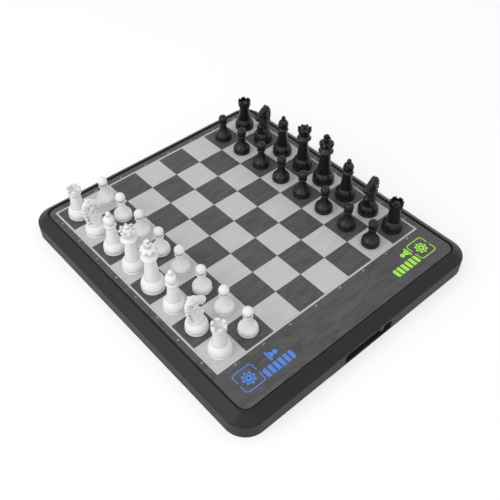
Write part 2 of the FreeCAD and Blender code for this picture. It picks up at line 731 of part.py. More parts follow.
def draw_icons(sketch, end, pictogram_offset):
    """Touch controls of one player; end is -1 for White's and 1 for Black's."""
    draw_settings_frame(sketch, strip_edge + d.frame_reach, d.frame_offset * end)
    draw_gear(sketch, strip_edge + d.frame_reach, d.frame_offset * end)
    draw_level_bar(sketch, end)
    draw_pawn_pictogram(sketch, strip_edge + d.pictogram_reach, pictogram_offset * end, end)


def draw_settings_frame(sketch, x, y):
    """Two brackets that leave a break in the middle of the frame's ends."""
    outer = d.frame_size / 2
    inner = outer - d.frame_line
    gap = d.frame_gap / 2
    for i in (-1, 1):
        draw_rounded(sketch, [
            (x + gap * i, y - outer, 0),
            (x + outer * i, y - outer, d.frame_corner),
            (x + outer * i, y + outer, d.frame_corner),
            (x + gap * i, y + outer, 0),
            (x + gap * i, y + inner, 0),
            (x + inner * i, y + inner, d.frame_corner - d.frame_line),
            (x + inner * i, y - inner, d.frame_corner - d.frame_line),
            (x + gap * i, y - inner, 0),
        ])


def draw_gear(sketch, x, y):
    """Toothed ring round a hub with a round hole."""
    step = 2 * math.pi / GEAR_TEETH
    corners = []
    for tooth in range(GEAR_TEETH):
        for share, radius in ((-0.3, d.gear_root_radius), (-0.2, d.gear_radius),
                              (0.2, d.gear_radius), (0.3, d.gear_root_radius)):
            angle = (tooth + share) * step
            corners.append((x + radius * math.cos(angle), y + radius * math.sin(angle)))
    draw_polygon(sketch, corners)
    for radius in (d.gear_hole_radius, d.hub_radius, d.hub_hole_radius):
        draw_circles(sketch, [(x, y)], radius)


def bar_places(end):
    return [(strip_edge + d.bar_reach, (d.bar_start + d.bar_pitch * i) * end) for i in range(LEVEL_STEPS)]


def draw_level_bar(sketch, end):
    """Row of steps whose two ends are rounded off."""
    half_width = d.bar_width / 2
    half_step = d.bar_step / 2
    for i, (x, y) in enumerate(bar_places(end)):
        inner_round = half_step * 0.9 if i == 0 else half_step * 0.1
        outer_round = half_step * 0.9 if i == LEVEL_STEPS - 1 else half_step * 0.1
        draw_rounded(sketch, [
            (x - half_width, y - half_step * end, inner_round),
            (x + half_width, y - half_step * end, inner_round),
            (x + half_width, y + half_step * end, outer_round),
            (x - half_width, y + half_step * end, outer_round),
        ])


def draw_pawn_pictogram(sketch, x, y, end):
    """Side view of a pawn in three pieces, its foot towards the player."""
    height = d.pictogram_height
    edge = height * 0.04

    def bar(low_half, low, high_half, high):
        """Symmetrical four-cornered shape between two heights above the foot, in shares of the whole."""
        corners = ((-low_half, low), (low_half, low), (high_half, high), (-high_half, high))
        draw_rounded(sketch, [(x + height * across, y + height * (0.5 - up) * end, edge)
                              for across, up in corners])

    bar(0.46, 0.0, 0.46, 0.17)
    bar(0.36, 0.22, 0.14, 0.53)
    draw_circles(sketch, [(x, y - height * 0.28 * end)], height * 0.22)


def make_panel():
    """Dark sheet with shallow beds for the light fields, the outline and the icons."""
    body = new_body("playing_panel")
    outline = new_sketch(body, "panel_outline", offset=panel_under)
    draw_rounded_rectangle(outline, panel_half_x, panel_half_y, d.panel_corner_radius)
    pad(body, outline, d.panel_thickness)
    bed = surface - d.inlay_depth
    for name, draw, sizes in (
        ("light_squares", draw_light_squares, ()),
        ("grid_outline", draw_grid_outline, ()),
        ("white_side_icons", draw_icons, (-1, d.white_pictogram_offset)),
        ("black_side_icons", draw_icons, (1, d.black_pictogram_offset)),
    ):
        cut = new_sketch(body, name + "_bed", offset=surface)
        draw(cut, *sizes)
        pocket(body, cut, d.inlay_depth)
        plate(name, bed, d.inlay_depth, draw, *sizes)
    keep(body)


def draw_gasket(sketch):
    """Ring between the panel's edge and the shelf's inner edge."""
    inset = d.gasket_inset
    draw_rounded_rectangle(sketch, panel_half_x - inset, panel_half_y - inset, d.panel_corner_radius - inset)
    draw_rounded_rectangle(sketch, opening_half_x, opening_half_y, opening_corner)


def draw_sheet(sketch):
    """Sheet that lies in the housing's opening."""
    gap = d.stack_gap
    draw_rounded_rectangle(sketch, opening_half_x - gap, opening_half_y - gap, opening_corner - gap)


def control_lamp_places():
    places = []
    for end, pictogram in ((-1, d.white_pictogram_offset), (1, d.black_pictogram_offset)):
        places.append((strip_edge + d.frame_reach, d.frame_offset * end))
        places.append((strip_edge + d.pictogram_reach, pictogram * end))
        places += bar_places(end)
    return places


def make_light_stack():
    """Sheets, light walls, main board and lamps below the panel."""
    plate("panel_gasket", shelf, d.gasket_thickness, draw_gasket)
    plate("touch_film", film_under, d.film_thickness, draw_sheet)
    plate("light_diffuser", diffuser_under, d.diffuser_thickness, draw_sheet)

    grid = plate("light_grid", board_top, d.light_grid_height, draw_sheet)
    cells = new_sketch(grid, "light_cells", offset=diffuser_under)
    cell = d.square - d.cell_wall
    draw_rectangles(cells, square_centres(), cell, cell)
    strip_end = opening_half_x - d.stack_gap - d.cell_wall
    strip_start = strip_edge + d.cell_wall
    for end in (-1, 0, 1):
        draw_rectangles(cells, [((strip_start + strip_end) / 2, grid_half * (2 / 3 * end))],
                        strip_end - strip_start, grid_half * (2 / 3) - d.cell_wall)
    pocket(grid, cells, d.light_grid_height)

    board = new_body("main_board")
    outline = new_sketch(board, "board_outline", offset=board_under)
    overlap = d.board_overlap
    draw_rounded_rectangle(outline, opening_half_x + overlap, opening_half_y + overlap, opening_corner)
    draw_circles(outline, BOSSES, d.small_screw_radius + d.hole_gap)
    pad(board, outline, d.board_thickness)
    keep(board)

    plate("square_leds", board_top, d.led_height, draw_rectangles, square_centres(), d.led_size, d.led_size)
    plate("control_leds", board_top, d.led_height, draw_rectangles, control_lamp_places(),
          d.control_led_size, d.control_led_size)
    module_under = board_under - d.module_height
    plate("processor_module", module_under, d.module_height, draw_rounded_rectangle,
          d.processor_size / 2, d.processor_size / 2, d.processor_size / 16,
          d.module_spacing, d.module_spacing)
    plate("wireless_module", module_under, d.module_height, draw_rounded_rectangle,
          d.wireless_length / 2, d.wireless_width / 2, d.wireless_width / 16,
          d.module_spacing, -d.module_spacing)


def bent_lead(label, start_x, sign, lower, thickness, run, width, y):
    """Flat lead that leaves an upright face, bends up and meets the main board's underside."""
    body = new_body(label)
    sketch = new_sketch(body, label + "_bend", "XZ_Plane", -y)
    far = start_x + run * sign
    near = far - thickness * sign
    upper = lower + thickness
    bend = thickness * 2
    draw_rounded(sketch, [
        (start_x, lower, 0),
        (far, lower, bend + thickness),
        (far, board_under, 0),
        (near, board_under, 0),
        (near, upper, bend),
        (start_x, upper, 0),
    ])
    pad(body, sketch, width, side="Symmetric")
    keep(body)


def make_battery():
    plate("battery_pack", cover_top, d.battery_thickness, draw_rounded_rectangle,
          d.battery_length / 2, d.battery_width / 2, d.battery_corner, battery_x)
    strap = new_body("battery_strap")
    hat = new_sketch(strap, "strap_section", "YZ_Plane", battery_x)
    foot = cover_top + d.strap_boss_height
    pack_top = cover_top + d.battery_thickness
    side = tray_half_width + d.strap_thickness / 2
    brim = side + d.strap_thickness / 2 + d.strap_foot
    leg_out = side + d.strap_thickness
    half = [(brim, foot), (side, foot), (side, pack_top)]
    upper = [(leg_out, pack_top + d.strap_thickness), (leg_out, foot + d.strap_thickness),
             (brim, foot + d.strap_thickness)]
    mirrored = [(-y, z) for y, z in reversed(half)]
    mirrored_upper = [(-y, z) for y, z in reversed(upper)]
    draw_polygon(hat, half + mirrored + mirrored_upper + upper)
    pad(strap, hat, d.strap_width, side="Symmetric")
    holes = new_sketch(strap, "strap_holes", offset=foot + d.strap_thickness)
    draw_circles(holes, STRAP_BOSSES, d.small_screw_radius + d.hole_gap)
    pocket(strap, holes, d.strap_thickness)
    keep(strap)
    bent_lead("battery_lead", battery_x + d.battery_length / 2, 1, cover_top + d.lead_height,
              d.lead_thickness, d.lead_run, d.lead_width, d.battery_width / 4)


def make_port_bay():
    """Black lining of the bay, its socket, push switch and board."""
    liner = new_body("port_liner")
    outside = new_sketch(liner, "liner_outside", "YZ_Plane", liner_front)
    depth = liner_front - liner_back
    half_width = d.bay_width / 2 - d.liner_gap
    half_height = d.bay_height / 2 - d.liner_gap
    corner = d.bay_corner - d.liner_gap
    draw_rounded_rectangle(outside, half_width, half_height, corner, 0.0, liner_middle)
    pad(liner, outside, depth, reverse=True)
    inside = new_sketch(liner, "liner_inside", "YZ_Plane", liner_front)
    wall = d.liner_wall
    draw_rounded_rectangle(inside, half_width - wall, half_height - wall, corner - wall, 0.0, liner_middle)
    pocket(liner, inside, depth - wall)
    windows = new_sketch(liner, "liner_windows", "YZ_Plane", liner_back + wall)
    gap = d.port_gap
    draw_rounded_rectangle(windows, d.usb_width / 2 + gap, d.usb_height / 2 + gap, d.usb_height / 2,
                           d.usb_offset, bay_middle)
    draw_rounded_rectangle(windows, d.button_width / 2 + gap, d.button_height / 2 + gap,
                           d.button_corner + gap, -d.button_offset, bay_middle)
    pocket(liner, windows, wall)
    slot = new_sketch(liner, "tab_slot", offset=bay_top)
    slot_length = d.wall_thickness + d.liner_gap * 2
    draw_rectangles(slot, [(half_x - slot_length / 2, d.tab_offset)],
                    slot_length, d.tab_width + d.port_gap * 2)
    pocket(liner, slot, d.bay_height / 2)
    keep(liner)

    board = new_body("port_board")
    face = new_sketch(board, "port_board_face", "YZ_Plane", port_board_back)
    half = d.port_board_width / 2
    draw_polygon(face, [(port_board_middle + half, cover_top), (port_board_middle - half, cover_top),
                        (port_board_middle - half, cover_top + d.port_board_height),
                        (port_board_middle + half, cover_top + d.port_board_height)])
    pad(board, face, d.port_board_thickness)
    keep(board)

    socket = new_body("usb_socket")
    shell = new_sketch(socket, "socket_shell", "YZ_Plane", port_board_front)
    draw_rounded_rectangle(shell, d.usb_width / 2, d.usb_height / 2, d.usb_height * 0.48,
                           d.usb_offset, bay_middle)
    socket_length = liner_back + wall - port_board_front
    pad(socket, shell, socket_length)
    mouth = new_sketch(socket, "socket_mouth", "YZ_Plane", port_board_front + socket_length)
    inset = d.usb_wall
    draw_rounded_rectangle(mouth, d.usb_width / 2 - inset, d.usb_height / 2 - inset,
                           d.usb_height * 0.48 - inset, d.usb_offset, bay_middle)
    blade = d.usb_height * 0.11
    draw_rounded_rectangle(mouth, d.usb_width * 0.37, blade, blade * 0.5, d.usb_offset, bay_middle)
    pocket(socket, mouth, socket_length * 0.8)
    keep(socket)

    switch = new_body("power_switch")
    case = new_sketch(switch, "switch_case", "YZ_Plane", port_board_front)
    draw_rounded_rectangle(case, d.switch_size / 2, d.switch_size / 2, d.switch_size * 0.08,
                           -d.button_offset, bay_middle)
    pad(switch, case, d.switch_thickness)
    plunger = new_sketch(switch, "switch_plunger", "YZ_Plane", switch_front)
    draw_circles(plunger, [(-d.button_offset, bay_middle)], d.plunger_radius)
    pad(switch, plunger, d.plunger_length)
    keep(switch)

    bent_lead("ribbon_cable", port_board_back, -1, bay_middle, d.ribbon_thickness, d.ribbon_run,
              d.ribbon_width, port_board_middle)


def make_power_button():
    """Cap through the lining's window, held behind it by a flange."""
    button = new_body("power_button")
    flange = new_sketch(button, "button_flange", "YZ_Plane", flange_back)
    draw_rounded_rectangle(flange, d.button_width / 2 + d.flange_lip, d.button_height / 2 + d.flange_lip,
                           d.button_corner, -d.button_offset, bay_middle)
    pad(button, flange, d.flange_thickness)
    cap = new_sketch(button, "button_cap", "YZ_Plane", flange_front)
    draw_rounded_rectangle(cap, d.button_width / 2, d.button_height / 2, d.button_corner,
                           -d.button_offset, bay_middle)
    pad(button, cap, d.flange_gap + d.liner_wall + d.button_proud)
    keep(button)


def draw_screws(body, name, places, seat, shank, radius, head_radius, head_height, upward):
    """Screws at one seat height; upward ones have their heads below."""
    heads = new_sketch(body, name + "_heads", offset=seat)
    draw_circles(heads, places, head_radius)
    pad(body, heads, head_height, reverse=upward)
    shanks = new_sketch(body, name + "_shanks", offset=seat)
    draw_circles(shanks, places, radius)
    pad(body, shanks, shank, reverse=not upward)


def make_fasteners():
    outer = new_body("housing_screws")
    draw_screws(outer, "housing", POSTS, cover_under + d.counterbore_depth, d.screw_length,
                d.screw_radius, d.screw_head_radius, d.screw_head_height, True)
    keep(outer)
    inner = new_body("inner_screws")
    draw_screws(inner, "board", BOSSES, board_under, d.small_screw_length,
                d.small_screw_radius, d.small_head_radius, d.small_head_height, True)
    draw_screws(inner, "strap", STRAP_BOSSES, cover_top + d.strap_boss_height + d.strap_thickness,
                d.small_screw_length, d.small_screw_radius, d.small_head_radius, d.small_head_height, False)
    keep(inner)
    plate("rubber_feet", 0.0, d.foot_standoff + d.foot_recess, draw_circles, foot_places(), d.foot_radius)


class Turning:
    """Half profile of a turned piece, drawn from its foot upwards in radius and height."""

    def __init__(self, body):
        self.sketch = new_sketch(body, body.Name + "_profile", "XZ_Plane")
        self.at = (0.0, 0.0)

    def add(self, geometry, target):
        index = self.sketch.addGeometry(geometry)
        pin_ends(self.sketch, index, self.at, target)
        self.at = target

    def line(self, radius, height):
        target = (radius, height)
        self.add(Part.LineSegment(point(*self.at), point(*target)), target)

    def arc(self, radius, height, bow):
        """Arc whose middle stands out from its chord by the bow, inwards where that is negative."""
        start = point(*self.at)
        end = point(radius, height)
        chord = end - start
        outwards = Vector(chord.y, -chord.x, 0).normalize()
        middle = (start + end) * 0.5 + outwards * float(bow)
        self.add(Part.Arc(start, middle, end), (radius, height))

    def base(self, radius, bulge_height, top_radius):
        """Plinth, seam and bulge that every piece stands on."""
        plinth = radius * PLINTH_SHARE
        seam_top = plinth + d.seam_height
        self.line(radius - d.foot_edge, 0.0)
        self.line(radius, d.foot_edge)
        self.line(radius, plinth - d.plinth_edge)
        self.line(radius - d.plinth_edge, plinth)
        self.line(radius - d.seam_depth, plinth)
        self.line(radius - d.seam_depth, seam_top)
        self.line(radius - d.bulge_edge, seam_top)
        self.arc(top_radius, seam_top + bulge_height, bulge_height * 0.13)

    def stem(self, height, top_radius):
        """Step in from the base, then a taper that is barely hollow."""
        radius, foot = self.at
        self.line(radius - d.step_width, foot)
        self.arc(top_radius, foot + height, height * -0.006)

    def collar(self, radius, height, top_radius, cone_share):
        """Flared ring round the top of the stem; the share of its height is the cone above the rim."""
        foot = self.at[1]
        ring = height * (1.0 - cone_share)
        self.arc(radius, foot + ring * 0.62, ring * -0.1)
        self.arc(radius, foot + ring, ring * 0.15)
        self.line(top_radius, foot + height)

    def ball(self, radius, seat_radius):
        """Ball on the axis, cut by its seat."""
        foot = self.at[1]
        centre = foot + leg(radius, seat_radius)
        top = centre + radius
        self.add(Part.Arc(point(seat_radius, foot), point(radius, centre), point(0, top)), (0.0, top))

    def finish(self, body):
        """Close the profile down the axis and turn it."""
        self.line(0.0, 0.0)
        return revolve(body, self.sketch)


def pawn_form():
    body = new_body("pawn_form")
    turning = Turning(body)
    turning.base(d.pawn_base_radius, d.pawn_bulge_height, d.pawn_bulge_top)
    neck = turning.at[1] + d.pawn_neck_height
    turning.arc(d.pawn_neck_radius, neck, d.pawn_neck_height * -0.09)
    rim = d.pawn_collar_radius - d.pawn_collar_height * 0.25
    collar_top = neck + d.pawn_collar_height
    turning.line(rim, neck)
    turning.arc(rim, collar_top, d.pawn_collar_height * 0.25)
    turning.line(d.pawn_ball_seat, collar_top)
    turning.ball(d.pawn_ball_radius, d.pawn_ball_seat)
    turning.finish(body)
    return body


def rook_form():
    body = new_body("rook_form")
    turning = Turning(body)
    turning.base(d.rook_base_radius, d.rook_bulge_height, d.rook_bulge_top)
    turning.stem(d.rook_stem_height, d.rook_stem_top)
    flare = turning.at[1] + d.rook_flare_height
    top = flare + d.rook_crown_height
    turning.arc(d.rook_crown_radius, flare, d.rook_flare_height * 0.15)
    turning.line(d.rook_crown_radius, top)
    turning.line(d.rook_well_radius, top)
    turning.line(d.rook_well_radius, top - d.rook_well_depth * 0.6)
    turning.line(d.rook_well_radius * 0.55, top - d.rook_well_depth)
    turning.line(0.0, top - d.rook_well_depth)
    turning.finish(body)
    gap = new_sketch(body, "crenel", offset=top)
    length = d.rook_crown_radius * 2.2
    draw_rectangles(gap, [(0.0, 0.0)], length, d.crenel_width)
    cut = pocket(body, gap, d.crenel_depth)
    pairs = CRENELS // 2
    polar_pattern(body, cut, pairs, 180 * (pairs - 1) / pairs)
    return body


def bishop_form():
    body = new_body("bishop_form")
    turning = Turning(body)
    turning.base(d.bishop_base_radius, d.bishop_bulge_height, d.bishop_bulge_top)
    turning.stem(d.bishop_stem_height, d.bishop_stem_top)
    turning.collar(d.bishop_collar_radius, d.bishop_collar_height, d.bishop_mitre_foot, 0.32)
    mitre_foot = turning.at[1]
    turning.arc(d.bishop_ball_seat, mitre_foot + d.bishop_mitre_height, d.bishop_mitre_bow)
    turning.ball(d.bishop_ball_radius, d.bishop_ball_seat)
    turning.finish(body)
    slit = new_sketch(body, "slit", "YZ_Plane")
    tip = (d.bishop_ball_seat * 0.6, mitre_foot + d.bishop_mitre_height * 0.34)
    run = d.slit_depth * 1.3
    draw_polygon(slit, [
        tip,
        (tip[0] + run * 0.7, tip[1] + run),
        (tip[0] + run * 0.7 + d.slit_width * 1.2, tip[1] + run),
        (tip[0] + d.slit_width * 1.2, tip[1]),
    ])
    pocket(body, slit, d.bishop_collar_radius * 2, side="Symmetric")
    return body


def queen_form():
    body = new_body("queen_form")
    turning = Turning(body)
    turning.base(d.queen_base_radius, d.queen_bulge_height, d.queen_bulge_top)
    turning.stem(d.queen_stem_height, d.queen_stem_top)
    turning.collar(d.queen_collar_radius, d.queen_collar_height, d.queen_cup_foot, 0.54)
    rim = turning.at[1] + d.queen_cup_height
    dish_radius = d.queen_cup_radius - d.queen_rim_width
    turning.arc(d.queen_cup_radius, rim, d.queen_cup_height * 0.07)
    turning.line(dish_radius, rim)
    turning.arc(d.queen_ball_seat, rim + d.queen_dome_rise, d.queen_dome_rise * 0.2)
    turning.ball(d.queen_ball_radius, d.queen_ball_seat)
    turning.finish(body)
    knob = new_sketch(body, "coronet_point", "XZ_Plane")
    x = d.queen_cup_radius - d.queen_point_radius * 0.4
    radius = d.queen_point_radius
    centre = rim + radius * 0.35
    lower = (x, centre - radius)
    upper = (x, centre + radius)
    half_round = knob.addGeometry(Part.Arc(point(*lower), point(x + radius, centre), point(*upper)))
    pin_ends(knob, half_round, lower, upper)
    axis = knob.addGeometry(Part.LineSegment(point(*upper), point(*lower)))
    pin_ends(knob, axis, upper, lower)
    centre_line = knob.addGeometry(Part.LineSegment(point(*lower), point(*upper)), True)
    pin_ends(knob, centre_line, lower, upper)
    polar_pattern(body, revolve(body, knob, "Axis0"), CORONET_POINTS, 360)
    return body


def king_form():
    body = new_body("king_form")
    turning = Turning(body)
    turning.base(d.king_base_radius, d.king_bulge_height, d.king_bulge_top)
    turning.stem(d.king_stem_height, d.king_stem_top)
    turning.collar(d.king_collar_radius, d.king_collar_height, d.king_cup_foot, 0.6)
    cup_foot = turning.at[1]
    rim = cup_foot + d.king_cup_height
    dome_top = rim + d.king_dome_rise
    turning.arc(d.king_cup_radius, rim, d.king_cup_height * 0.12)
    turning.arc(d.king_dome_top, dome_top, d.king_dome_rise * 0.45)
    turning.line(0.0, dome_top)
    turning.finish(body)
    flute = new_sketch(body, "flute", offset=dome_top)
    reach = d.king_cup_radius - d.flute_depth + d.flute_radius
    draw_circles(flute, [(reach, 0.0)], d.flute_radius)
    cut = pocket(body, flute, d.king_dome_rise + d.king_cup_height)
    polar_pattern(body, cut, CROWN_FLUTES, 360)
    cross = new_sketch(body, "cross", "XZ_Plane")
    foot = dome_top - d.king_dome_rise * 0.3
    top = dome_top + d.cross_height
    bar = d.cross_bar / 2
    span = d.cross_span / 2
    arm_low = dome_top + d.cross_height * 0.42
    arm_high = arm_low + d.cross_bar
    right = [(bar * 1.3, foot), (bar * 0.9, arm_low), (span, arm_low - bar * 0.25),
             (span, arm_high + bar * 0.25), (bar * 0.9, arm_high), (bar * 1.3, top)]
    draw_polygon(cross, right + [(-x, z) for x, z in reversed(right)])
    pad(body, cross, d.cross_thickness, side="Symmetric")
    return body


def draw_ellipse(sketch, x, y, half_width, half_height):
    """Upright or level ellipse; FreeCAD wants the larger half-axis first."""
    centre = point(x, y)
    across = centre + point(half_width, 0)
    along = centre + point(0, half_height)
    tall = float(half_height) > float(half_width)
    sketch.addGeometry(Part.Ellipse(along, centre - point(half_width, 0), centre) if tall
                       else Part.Ellipse(across, along, centre))


def knight_form():
    """Turned base, leaning neck, horse's head with ears, and a plaited mane down the back."""
    body = new_body("knight_form")
    turning = Turning(body)
    turning.base(d.knight_base_radius, d.knight_bulge_height, d.knight_bulge_top)
    base_top = turning.at[1]
    turning.line(0.0, base_top)
    turning.finish(body)

    neck = []
    for rise, lean, width, depth in NECK_STATIONS:
        section = new_sketch(body, f"neck_{len(neck)}", offset=base_top + d.knight_neck_height * rise)
        draw_ellipse(section, 0.0, -d.knight_lean * lean, d.knight_neck_width / 2 * width,
                     d.knight_neck_depth / 2 * depth)
        neck.append(section)
    loft(body, neck)

    poll_height = base_top + d.knight_neck_height + d.knight_head_depth * 0.15
    poll = d.knight_head_length * -0.45
    head = []
    for reach, drop, width, depth in HEAD_STATIONS:
        section = new_sketch(body, f"head_{len(head)}", "XZ_Plane", -(poll + d.knight_head_length * reach))
        draw_ellipse(section, 0.0, poll_height - d.knight_muzzle_drop * drop, d.knight_head_width / 2 * width,
                     d.knight_head_depth / 2 * depth)
        head.append(section)
    loft(body, head)

    ear_foot = poll_height + d.knight_head_depth * 0.06
    for side in (-1, 1):
        ear = body.newObject("PartDesign::AdditiveCone", "ear")
        ear.setExpression("Radius1", d.knight_ear_radius.text)
        ear.setExpression("Radius2", (d.knight_ear_radius * 0.25).text)
        ear.setExpression("Height", d.knight_ear_height.text)
        place = Vector(float(d.knight_head_width) * 0.24 * side, float(poll + d.knight_head_length * 0.27),
                       float(ear_foot))
        ear.Placement = Placement(place, Rotation())
        doc.recompute()

    for bead, (back, rise) in enumerate(MANE_STATIONS):
        pearl = body.newObject("PartDesign::AdditiveSphere", "mane")
        thinning = 1.0 - 0.3 * bead / (len(MANE_STATIONS) - 1)
        pearl.setExpression("Radius", (d.knight_bead_radius * thinning).text)
        y = -d.knight_neck_depth * back
        z = base_top + d.knight_neck_height * rise
        pearl.Placement = Placement(Vector(0, float(y), float(z)), Rotation())
        doc.recompute()
    return body


def make_chess_set():
    """The thirty-two pieces on their opening squares, each a link to the form of its kind."""
    forms = {
        "pawn": pawn_form(),
        "rook": rook_form(),
        "knight": knight_form(),
        "bishop": bishop_form(),
        "queen": queen_form(),
        "king": king_form(),
    }
    last = SQUARES_PER_SIDE - 1
    for colour, home_rank, pawn_rank, heading in (("white", 0, 1, 0), ("black", last, last - 1, 180)):
        for file, kind in enumerate(BACK_RANK):
            single = BACK_RANK.count(kind) == 1
            name = f"{colour}_{kind}" if single else f"{colour}_{kind}_{FILES[file]}"
            turn = QUEEN_TURN if kind == "queen" else 0
            place_piece(name, forms[kind], file, home_rank, heading + turn)
            place_piece(f"{colour}_pawn_{FILES[file]}", forms["pawn"], file, pawn_rank, heading)


def place_piece(name, form, file, rank, heading):
    """One piece in the middle of its square, facing the other side."""
    middle = (SQUARES_PER_SIDE - 1) / 2
    piece = doc.addObject("App::Link", name)
    piece.Label = name
    piece.LinkedObject = form
    piece.Placement = Placement(Vector(0, 0, 0), Rotation(Vector(0, 0, 1), heading))
    piece.setExpression("Placement.Base.x", (grid_x + d.square * (file - middle)).text)
    piece.setExpression("Placement.Base.y", (d.square * (rank - middle)).text)
    piece.setExpression("Placement.Base.z", surface.text)
    subparts[name] = piece


def check_document():
    """Stop if any object failed or any sub-part's shape is not sound."""
    for item in doc.Objects:
        if "Invalid" in item.State or "Error" in item.State:
            raise RuntimeError(f"{item.Label} failed")
    for name, item in subparts.items():
        shape = Part.getShape(item)
        if shape.isNull() or not shape.isValid() or not shape.Solids:
            raise RuntimeError(f"{name} has no sound shape")


def export_parts():
    os.makedirs("parts", exist_ok=True)
    for name, item in subparts.items():
        Part.getShape(item).exportStep(os.path.join("parts", name + ".step"))


make_top_housing()
make_bottom_cover()
make_panel()
make_light_stack()
make_battery()
make_port_bay()
make_power_button()
make_fasteners()
make_chess_set()
doc.recompute()
check_document()
export_parts()
solids = sum(len(Part.getShape(item).Solids) for item in subparts.values())
print(len(subparts), "sub-parts,", solids, "solids")
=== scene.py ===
"""Looks of an electronic chess computer: finishes, coordinate marks, carved knights and a stage."""

import json
import math

import bmesh
import bpy
from mathutils import Matrix, Vector

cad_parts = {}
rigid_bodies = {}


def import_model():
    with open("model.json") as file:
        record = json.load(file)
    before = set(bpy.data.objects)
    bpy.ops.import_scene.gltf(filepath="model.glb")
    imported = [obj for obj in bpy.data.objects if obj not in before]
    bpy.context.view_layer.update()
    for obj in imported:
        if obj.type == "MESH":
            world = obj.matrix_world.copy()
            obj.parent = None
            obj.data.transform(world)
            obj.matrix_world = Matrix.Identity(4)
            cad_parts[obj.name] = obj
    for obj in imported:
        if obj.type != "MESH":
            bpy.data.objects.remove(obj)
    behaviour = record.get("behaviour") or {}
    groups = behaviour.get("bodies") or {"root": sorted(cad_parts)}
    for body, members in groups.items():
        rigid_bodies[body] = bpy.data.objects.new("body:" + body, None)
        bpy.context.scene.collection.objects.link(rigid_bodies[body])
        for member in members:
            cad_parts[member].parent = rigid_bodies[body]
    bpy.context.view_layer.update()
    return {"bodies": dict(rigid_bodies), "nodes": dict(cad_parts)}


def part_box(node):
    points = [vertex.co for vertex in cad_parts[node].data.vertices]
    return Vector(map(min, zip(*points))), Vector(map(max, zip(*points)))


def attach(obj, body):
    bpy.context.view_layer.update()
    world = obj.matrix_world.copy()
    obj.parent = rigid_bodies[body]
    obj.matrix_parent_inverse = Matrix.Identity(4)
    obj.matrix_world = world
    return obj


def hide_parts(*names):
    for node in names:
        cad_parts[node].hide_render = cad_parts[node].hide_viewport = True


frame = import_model()

bl_info = {
    "name": "Chess Computer Looks",
    "version": (1, 0, 0),
    "blender": (4, 5, 0),
    "location": "View3D > Sidebar > Chess Computer",
    "description": "Finishes, marks, carved knights and stage for an electronic chess computer",
    "category": "Object",
}

MM = 0.001
FILES = "abcdefgh"
RANKS = "12345678"
SQUARES = len(FILES)

# Measures of the board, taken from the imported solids
OUTLINE_LOW, OUTLINE_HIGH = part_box("grid_outline")
GRID_CENTRE = (OUTLINE_LOW + OUTLINE_HIGH) / 2
TILES_LOW, TILES_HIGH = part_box("light_squares")
SQUARE = (TILES_HIGH.x - TILES_LOW.x) / SQUARES
GRID_HALF = SQUARE * SQUARES / 2
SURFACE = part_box("playing_panel")[1].z

# Middles of the squares along one side, from the middle of the grid
MIDDLES = tuple((i - (SQUARES - 1) / 2) * SQUARE for i in range(SQUARES))

# Edges that turn by more than this stay crisp
CRISP_SOLID = math.radians(28)
CRISP_CARVING = math.radians(40)

# Sockets of a Mix node that are for colours
MIX_FIRST = 6
MIX_SECOND = 7
MIX_RESULT = 2

# Strength of the light in the touch controls
CONTROL_GLOW = 0.42

# Felt under the chess pieces
FELT_COLOUR = (0.02, 0.03, 0.025)
FELT_ROUGHNESS = 0.95
FELT_THICKNESS = 0.02 * MM

# Stage: the floor from its middle to each side, and the lamps, in metres
FLOOR_REACH = 6.0
LAMP_SIZE = 1.3
KEY_PLACE = (-0.2, -1.5, 1.0)
FILL_PLACE = (1.3, -0.6, 1.2)

# Turned base of a knight. The bow says how far the middle of the bulge stands out and up, as a
# share of the bulge's height
BEVEL = 0.4 * MM
BULGE_STEP = 0.1 * MM
BOW_OUT = 0.117
BOW_UP = 0.052
BASE_SIDES = 96
BULGE_STEPS = 12

# Locks of the mane: how many from one point of its line to the next, their shape as a share of their
# radius, their step to the side in millimetres, and how far they lean and turn in radians
LOCKS_PER_POINT = 2
LOCK_SHAPE = (1.0, 1.15, 0.66)
LOCK_STEP = 0.9
LOCK_TILT = 0.5

# Skin of the neck and the head: points on an oval, ovals from one station to the next, and how far the
# ovals are from round, which is 2
OVAL_POINTS = 28
OVALS_PER_STATION = 5
SQUARENESS = 2.4

# Carving of a knight that faces +Y, in millimetres from the middle of its square
# Stations of the neck and the head: (forward, up, half width, half depth)
NECK = ((0.0, 11.0, 9.6, 9.6), (0.4, 15.0, 7.4, 9.4), (0.7, 20.0, 5.7, 9.2), (0.4, 25.0, 5.0, 9.2),
        (-1.4, 29.5, 4.7, 8.0), (-3.6, 33.5, 4.5, 6.5), (-5.5, 39.0, 4.3, 5.6), (-6.4, 45.0, 4.0, 5.0))
HEAD = ((-9.0, 51.0, 2.4, 3.0), (-7.4, 50.0, 4.0, 5.4), (-4.4, 48.4, 5.0, 7.2), (-0.8, 46.8, 5.2, 7.6),
        (3.2, 45.4, 4.4, 6.2), (7.0, 43.9, 3.7, 4.9), (10.6, 42.0, 3.7, 4.3), (13.2, 40.6, 2.9, 3.2))
# Line of the mane: (forward, up)
MANE = ((-8.6, 13.5), (-9.2, 19.0), (-10.0, 25.0), (-11.0, 31.0), (-11.7, 37.0), (-11.8, 42.5),
        (-10.9, 47.6), (-8.6, 52.0), (-5.4, 54.6), (-1.4, 54.4))
# Swellings in the middle: (place, radii)
JAW = ((0.0, -2.2, 41.5), (4.0, 5.0, 4.2))
CHEST = ((0.0, 5.4, 24.6), (5.3, 5.2, 5.4))
